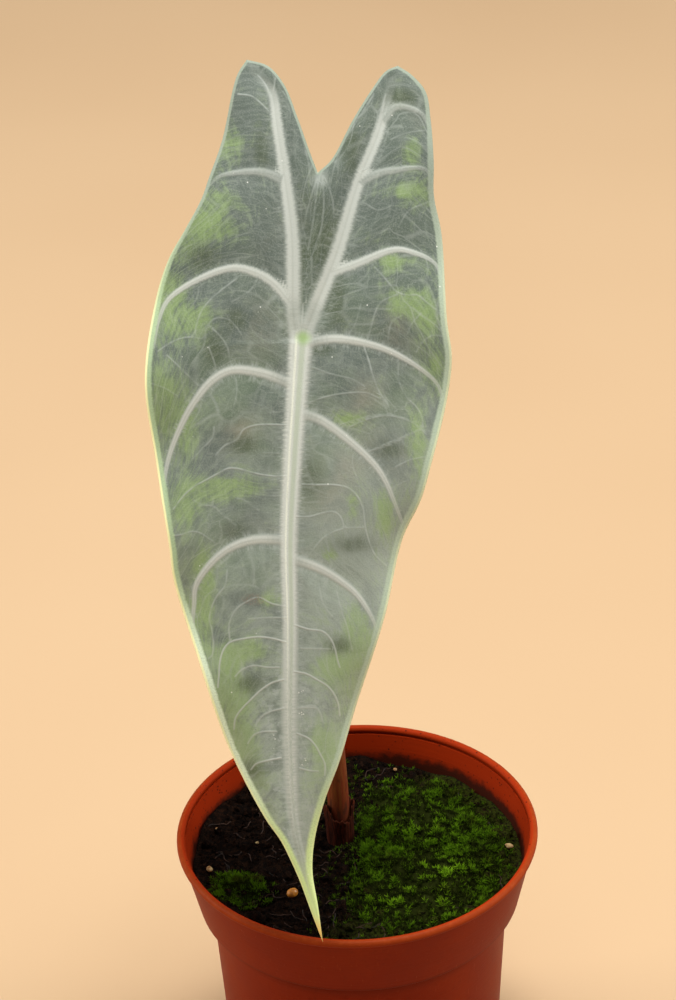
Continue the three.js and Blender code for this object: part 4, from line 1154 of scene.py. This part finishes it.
def makeBlade():
    mesh = flatBlade()
    flat = places(mesh)
    # the two skins share their spots
    spots, skin = np.unique(flat[:, :2].round(4), axis=0, return_inverse=True)
    skin = skin.ravel()
    across, along = spots.T

    rim, band = np.full((2, len(spots)), 30.0)
    for name in sides:
        for line in ("edge", "sinus"):
            gap = nearPath(spots, smoothPath(outlines[name][line], 10), blade["rimReach"])[1]
            edgeBand = np.interp(along, *np.transpose(outlines[name]["band"]))
            width = edgeBand if line == "edge" else blade["sinusBand"]
            rim, band = np.minimum(rim, gap), np.minimum(band, gap / width)

    def bulge(part, power):     # the round back of a rib, 1 on its middle and 0 from its edge
        return np.clip(1 - part ** 2, 0, 1) ** power

    _, far, signed, place = nearPath(spots, smoothPath(midrib["path"]), blade["wholeReach"])
    half = lerp(midrib["from"], midrib["to"], place) / 2
    spine = (signed / half, far - half)
    fade = 1 - 0.9 * smoothStep(place, 0.86, 1)
    raised = midrib["front"] * fade * bulge(far / half / 1.2, 1.5)
    keel = midrib["back"] * lerp(1, 0.5, place) * fade * bulge(far / half, 0.8)
    nearestRib = far.copy()

    rib = np.full((3, len(spots)), 20.0)
    ribFade = np.ones(len(spots))
    for wide, narrow, front, back, path in mainRibs:
        line = smoothPath(path)
        _, far, signed, place = nearPath(spots, line, blade["ribReach"])
        half = lerp(wide, narrow, place) / 2
        closer = far / half < rib[1]
        rib = np.where(closer, (signed / half, far / half, place * runAlong(line)[-1]), rib)
        if path in sideRibs:
            seen = 0.5 if path[0][1] < -25 else 1     # the lobes' own side ribs are faint
            seen *= 1 - 0.6 * smoothStep(place, 0.6, 1)
        else:
            seen = 1 - 0.9 * smoothStep(place, 0.82, 0.98)
        ribFade = np.where(closer, seen, ribFade)
        fade = 1 - 0.9 * smoothStep(place, 0.7, 1)
        raised = np.maximum(raised, front * fade * bulge(far / half / 1.25, 1.5))
        keel = np.maximum(keel, back * fade * bulge(far / half, 0.8))
        nearestRib = np.minimum(nearestRib, far)

    vein = np.full((3, len(spots)), 40.0)
    strength = np.zeros(len(spots))
    for strong, path in fineVeins:
        offset, far, _, place = nearPath(spots, smoothPath(path, 4), blade["veinReach"])
        closer = far / blade["veinHalf"] < vein[2]
        vein = np.where(closer, np.vstack([offset.T, far]) / blade["veinHalf"], vein)
        strength = np.where(closer, strong * lerp(1, 0.6, place), strength)

    flow = np.zeros((2, len(spots)))
    for name, side in sides.items():
        here = onSide(name, across, along)
        flow[:, here] = ribFlow(spots[here], name)
        # between a lobe's rib and the notch the veins follow the rib
        inward = side["spine"](along) - across
        web = here & (along < 0) & ((inward < 0) == (name == "left"))
        flow[:, web] = along[web], 200 + np.abs(inward[web])

    def patches(listed):
        amount = np.zeros(len(spots))
        for x, y, reachAcross, reachAlong in listed:
            near = ((across - x) / reachAcross) ** 2 + ((along - y) / reachAlong) ** 2
            amount += 0.7 * np.exp(-near) + 0.35 * np.exp(-near / 4)
        return np.clip(amount, 0, 1)

    quilt = blade["quilt"] * (1 - np.exp(-(nearestRib / 4) ** 2)) * smoothStep(rim, 0, 5)
    level = middleSurface(across, along) + quilt
    shape = 1 - (1 - np.clip(rim / blade["rimRound"], 0, 1)) ** 2
    half = lerp(blade["edgeThickness"], blade["thickness"], np.sqrt(np.clip(shape, 0, 1))) / 2
    inFront = flat[:, 2] > 0.5
    forward = np.where(inFront, (level + half + raised)[skin], (level - half - keel)[skin])
    putPlaces(mesh, np.array(blade["junction"]) + across[skin, None] * bladeAcross
              + along[skin, None] * bladeAlong + forward[:, None] * bladeFront)
    mesh.flip_normals()
    green, dark, warm = (patches(leafPaint[name + "Patches"]) for name in ("green", "dark", "warm"))
    verge = lerp(0.2, 0.5, smoothStep(along, 40, 60)) * np.exp(-(rim / 6.5) ** 2)
    green = np.clip(green + verge * smoothStep(along, -45, -25) * smoothStep(-along, -100, -85), 0, 1)
    marks = {
        "flat": (across, along, band), "spine": (*spine, ribFade), "rib": rib, "vein": vein,
        "flow": (*flow, strength), "patch": (green, dark, warm),
    }
    for name, columns in marks.items():
        addAttribute(mesh, name, *[column[skin] for column in columns])
    behind = [int(not all(inFront[i] for i in face.vertices)) for face in mesh.polygons]
    mesh.polygons.foreach_set("material_index", behind)
    return mesh


def gapTo(plane, spot, x=1, y=1):     # the distance from a spot on the blade
    return flatLength(scaled(vector("SUBTRACT", plane, (*spot, 0)), x, y, 0))


def ramp(value, *stops):     # from -1 to 1 across a rib
    return Wire.node("ShaderNodeValToRGB", value * 0.5 + 0.5,
                     stops=[(place, leafPaint[name]) for place, name in stops])


def paintLeafFront():
    across, along, band = parts(attribute("flat"))
    plane = joined(across, along, 0.0)
    side, beyond, ribFade = parts(attribute("spine"))
    out, onLeft = abs(side), rise(side, 0.5, -0.5)
    green, dark, warm = parts(attribute("patch"))
    ribSide, ribOut, ribRun = parts(attribute("rib"))
    run, level, strength = parts(attribute("flow"))
    vein = attribute("vein")

    shift = scaled(cloud(plane, 0.13, 1.0, out=1), 3, 3, 0)
    bent = vector("ADD", plane, shift)
    flow = vector("ADD", joined(run, level, 0.0), shift)
    broad = cloud(plane, 0.06, 3.0, 0.6)
    mottle = cloud(bent, 0.14, 5.0, 0.62)
    grain = cloud(plane, 3.2, 3.0, 0.6)
    arcs = cloud(scaled(flow, 0.13, 1, 1), 1.0, 4.0, 0.6)     # streaks along the side ribs
    rungs = cloud(scaled(flow, 1, 0.13, 1), 1.0, 4.0, 0.6)     # and across them
    net = rise(cells(scaled(flow, 0.1, 0.22, 1), 1.0), 0.06, 0.0)
    fineNet = rise(cells(scaled(flow, 0.24, 0.5, 1), 1.0), 0.09, 0.0)
    ribHair = cloud(joined(ribOut * 0.3, ribRun * 2.1, 7.0), 1.0, 3.0, 0.6)
    spineHair = cloud(joined(beyond * 0.35, along * 2.0, onLeft * 9.0), 1.0, 3.0, 0.6)
    longHair = cloud(joined(beyond * 0.1, along * 0.7, onLeft * 7.0 + 3.0), 1.0, 3.0, 0.6)
    stroke = (arcs + rungs - 1.0) * 0.9
    cloudy = mottle - 0.5

    blotch = rise(cloud(bent, 0.3, 4.0, 0.6), 0.52, 0.4) * rise(along, 50, 65) * rise(along, 104, 92)
    blotch = most(rise(mottle, 0.52, 0.36) * rise(along, 35, 60), blotch)
    powder = rise(cloud(bent, 0.45, 5.0, 0.65), 0.5, 0.64) * rise(beyond, 9.0, 1.0) * rise(along, 50, 75)
    greener = green * (1 + 0.6 * rise(along, 50, 75))
    hairs = rise(ribHair, 0.42, 0.68) * rise(ribOut, 3.0, 0.9) * ribFade * (1 - 0.4 * rise(along, 5, -10))
    hairs = most(hairs, rise(spineHair, 0.42, 0.66) * rise(beyond, 2.2, 0.0))
    hairs = most(hairs * 0.55, rise(longHair, 0.52, 0.7) * rise(beyond, 6.5, 0.5) * 0.35)
    lower = rise(along, 45, 60)
    uneven = most(0.45 + 0.55 * rise(cloud(plane, 0.4, 2.0), 0.38, 0.58), lower * 0.9)
    veinMask = rise(flatLength(vein) + 0.8 * grain, 2.0, 0.4) * rise(parts(vein)[2], 3.4, 2.3)
    veinMask *= strength * uneven

    ribNear = most(abs(ribSide), ribOut - 0.3)
    ribMask = rise(ribNear + 1.2 * ribHair + 0.5 * grain, 2.2, 1.4) * ribFade
    stripes = coats(
        leafPaint,
        ramp(ribSide, (0, "ribEdge"), (0.24, "rib"), (0.4, "rib"), (0.52, "ribLine"), (0.64, "rib"),
             (0.8, "rib"), (1, "ribEdge")),
        (rise(along, 0, -25) * 0.35, "vein"),
        (rise(grain, 0.52, 0.3) * 0.35, "ribEdge"),
        (rise(ribHair, 0.5, 0.3) * 0.3, "pale"))
    fibres = cloud(joined(side * 4.0, along * 0.12, 0.0), 1.0, 4.0, 0.6)
    # the bright line on the midrib's left flank is a painted highlight
    stem = coats(
        leafPaint,
        ramp(side, (0, "midribSide"), (0.2, "midribSide"), (0.3, "midribHighlight"), (0.4, "midribSide"),
             (0.52, "midribCentre"), (0.66, "midribCentre"), (0.8, "midribSide"), (1, "midribEdge")),
        (rise(fibres, 0.48, 0.72) * 0.35, "ribLine"),
        (rise(grain, 0.52, 0.3) * 0.3, "ribEdge"),
        (rise(along, 45, 80) * 0.8, coats(leafPaint, "pale", (rise(spineHair, 0.38, 0.6), "rib"))))
    stemMask = rise(out + 1.2 * spineHair, 2.0 + 0.7 * rise(along, 50, 80), 1.3) * rise(along, 110, 86)
    edge = coats(
        leafPaint, "marginLobe",
        (rise(along, -32, -6), coats(leafPaint, "marginRight", (onLeft, "marginLeft"))),
        # the lower left margin: the pale rim is the leaf's own, its extra brightness there is painted light
        (rise(along, 40, 66) * onLeft, "marginLow"),
        (rise(along, 80, 102), "tip"),
        (rise(grain, 0.55, 0.3) * 0.3, "sage"))
    ragged = band + 0.4 * mottle + 0.3 * spineHair
    # painted rim light along the margin, stronger on the left
    rimLight = rise(along, -28, 10) * (0.3 + onLeft * 0.55) * (1 - 0.5 * rise(along, 60, 95))

    dots = rise(cells(plane, 1.5, "F1"), 0.3, 0.16)
    speck = rise(cells(plane, 0.33, "F1"), 0.06, 0.03) * rise(cloud(plane, 0.2, 2.0), 0.52, 0.6)
    for spot in leafPaint["dust"]:
        speck = most(speck, dots * rise(gapTo(plane, spot) + mottle, 1.6, 0.7))
    scarGap = gapTo(plane, leafPaint["scarAt"], x=0.45)
    scar = rise(scarGap + mottle * 2.0, 2.3, 1.4) * rise(grain, 0.42, 0.62)

    colour = coats(
        leafPaint, "slate",
        (rise(mottle, 0.34, 0.66), "lamina"),
        (rise(broad, 0.4, 0.62) * 0.5, "sage"),
        (warm * rise(mottle, 0.3, 0.6) * 0.6, "brown"),
        # painted shade: the upper blade and lobes darker
        (rise(along, 25, -25) * 0.8, "slate"),
        (rise(along, 10, -25) * 0.12, "olive"),
        # painted sheen: the right half of the body lighter
        (rise(across, -16, 12) * rise(along, 0, 55) * 0.7, "pale"),
        # painted light: the blade lighter towards the tip
        (rise(along, 65, 105) * 0.4, "marginRight"),
        (rise(along, 5, 85) * 0.45, "pale"),
        (blotch * (0.25 + 0.25 * onLeft), "slate"),
        (powder * 0.6, "vein"),
        (rise(greener + cloudy * 2.0 + stroke * 1.4, 0.2, 1.35) * 0.68,
         coats(leafPaint, "green", (rise(along, 50, 80) * 0.25, "marginRight"))),
        # dark patches: the leaf's darker tone, partly painted shade beside the ribs
        (rise(dark + cloudy * 1.2 + stroke * 0.8, 0.1, 1.2) * 0.75, "olive"),
        (rise(arcs, 0.46, 0.76) * 0.2, "pale"),
        (rise(rungs, 0.48, 0.78) * 0.2, "pale"),
        (rise(arcs, 0.52, 0.3) * 0.15, "slate"),
        (rise(grain, 0.45, 0.75) * 0.25, "pale"),
        (rise(grain, 0.5, 0.28) * 0.2, "slate"),
        (most(net * rise(broad, 0.4, 0.62) * 0.28, fineNet * 0.1), "vein"),
        (hairs, "vein"),
        (veinMask * (0.75 + 0.25 * lower), coats(leafPaint, "vein", (lower * 0.6, "rib"))),
        (ribMask * (1 - 0.35 * rise(out, 3.4, 1.3)), stripes),
        (stemMask * rise(along, -3.5, 1.0), stem),
        (rise(gapTo(plane, leafPaint["heartAt"]) + 1.6 * mottle, 2.9, 0.9) * 0.8, "heart"),
        (rise(gapTo(plane, leafPaint["notchAt"]) + mottle, 3.2, 0.8) * 0.5, "vein"),
        (rise(ragged, 1.5 + 0.3 * rise(along, 75, 100), 1.1) * 0.88, edge),
        # painted rim light: a bright line along the margin
        (rise(band, 0.45, 0.2) * rimLight, "marginLine"),
        (rise(along, 98, 118) * rise(along, 94, 104) * 0.85, "tip"),
        (rise(along, 113, 118), "tipEnd"),
        (speck * 0.75, "speck"),
        (scar * 0.45, "scar"))
    streaks = (arcs + rungs) * rise(ribOut, 0.9, 2.2) * rise(beyond, 0.0, 1.0)
    height = veinMask * 0.35 + ribMask * 0.15 + grain * 0.2 + hairs * 0.1 + streaks * 0.15
    sheen = {"Sheen Weight": 0.1, "Sheen Roughness": 0.4}
    return surface(colour, 0.46 + 0.16 * mottle + 0.1 * grain, height, 0.13, 0.25) | sheen


def paintLeafBack():
    across, along, band = parts(attribute("flat"))
    plane = joined(across, along, 0.0)
    ribSide, ribOut, _ = parts(attribute("rib"))
    ribNear = most(abs(ribSide), ribOut - 0.3)
    vein = attribute("vein")
    mottle = cloud(plane, 0.3, 5.0, 0.6)
    grain = cloud(plane, 3.0, 3.0, 0.6)
    net = rise(cells(plane, 0.5), 0.08, 0.0)
    veinMask = rise(flatLength(vein), 2.2, 0.5) * rise(parts(vein)[2], 3.4, 2.3) * parts(attribute("flow"))[2]
    onMidrib = rise(abs(parts(attribute("spine"))[0]), 1.25, 0.95)
    colour = coats(
        leafPaint, "underShade",
        (rise(mottle, 0.35, 0.65), "under"),
        (rise(cloud(plane, 0.07), 0.45, 0.7) * 0.5, "underFlush"),
        (net * 0.4, "underRib"),
        (veinMask * 0.8, "underRib"),
        (most(rise(ribNear + 0.2 * grain, 1.3, 0.95), onMidrib), "underRib"),
        (rise(band, 1.3, 0.9), "marginLeft"))
    return surface(colour, 0.5 + 0.15 * mottle, veinMask * 0.7 + net * 0.4 + grain * 0.3, 0.18)


leafSkins = [newMaterial("bladeFront", paintLeafFront), newMaterial("bladeBack", paintLeafBack)]
addPiece("leafBlade", makeBlade(), leafSkins, ["leaf_blade"])

# Rootstock, under the soil
rootPaint = {"bark": tint(112, 84, 56), "pale": tint(164, 138, 102)}


def paintRoot():
    where = objectPlace()
    colour = coats(rootPaint, "bark", (rise(cloud(where, 0.5, 4.0), 0.4, 0.65), "pale"))
    return surface(colour, 0.8, cloud(where, 2.0, 4.0), 0.3)


rootSkin = newMaterial("rootSkin", paintRoot)
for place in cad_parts["rootstock"].material_slots:
    place.material = rootSkin
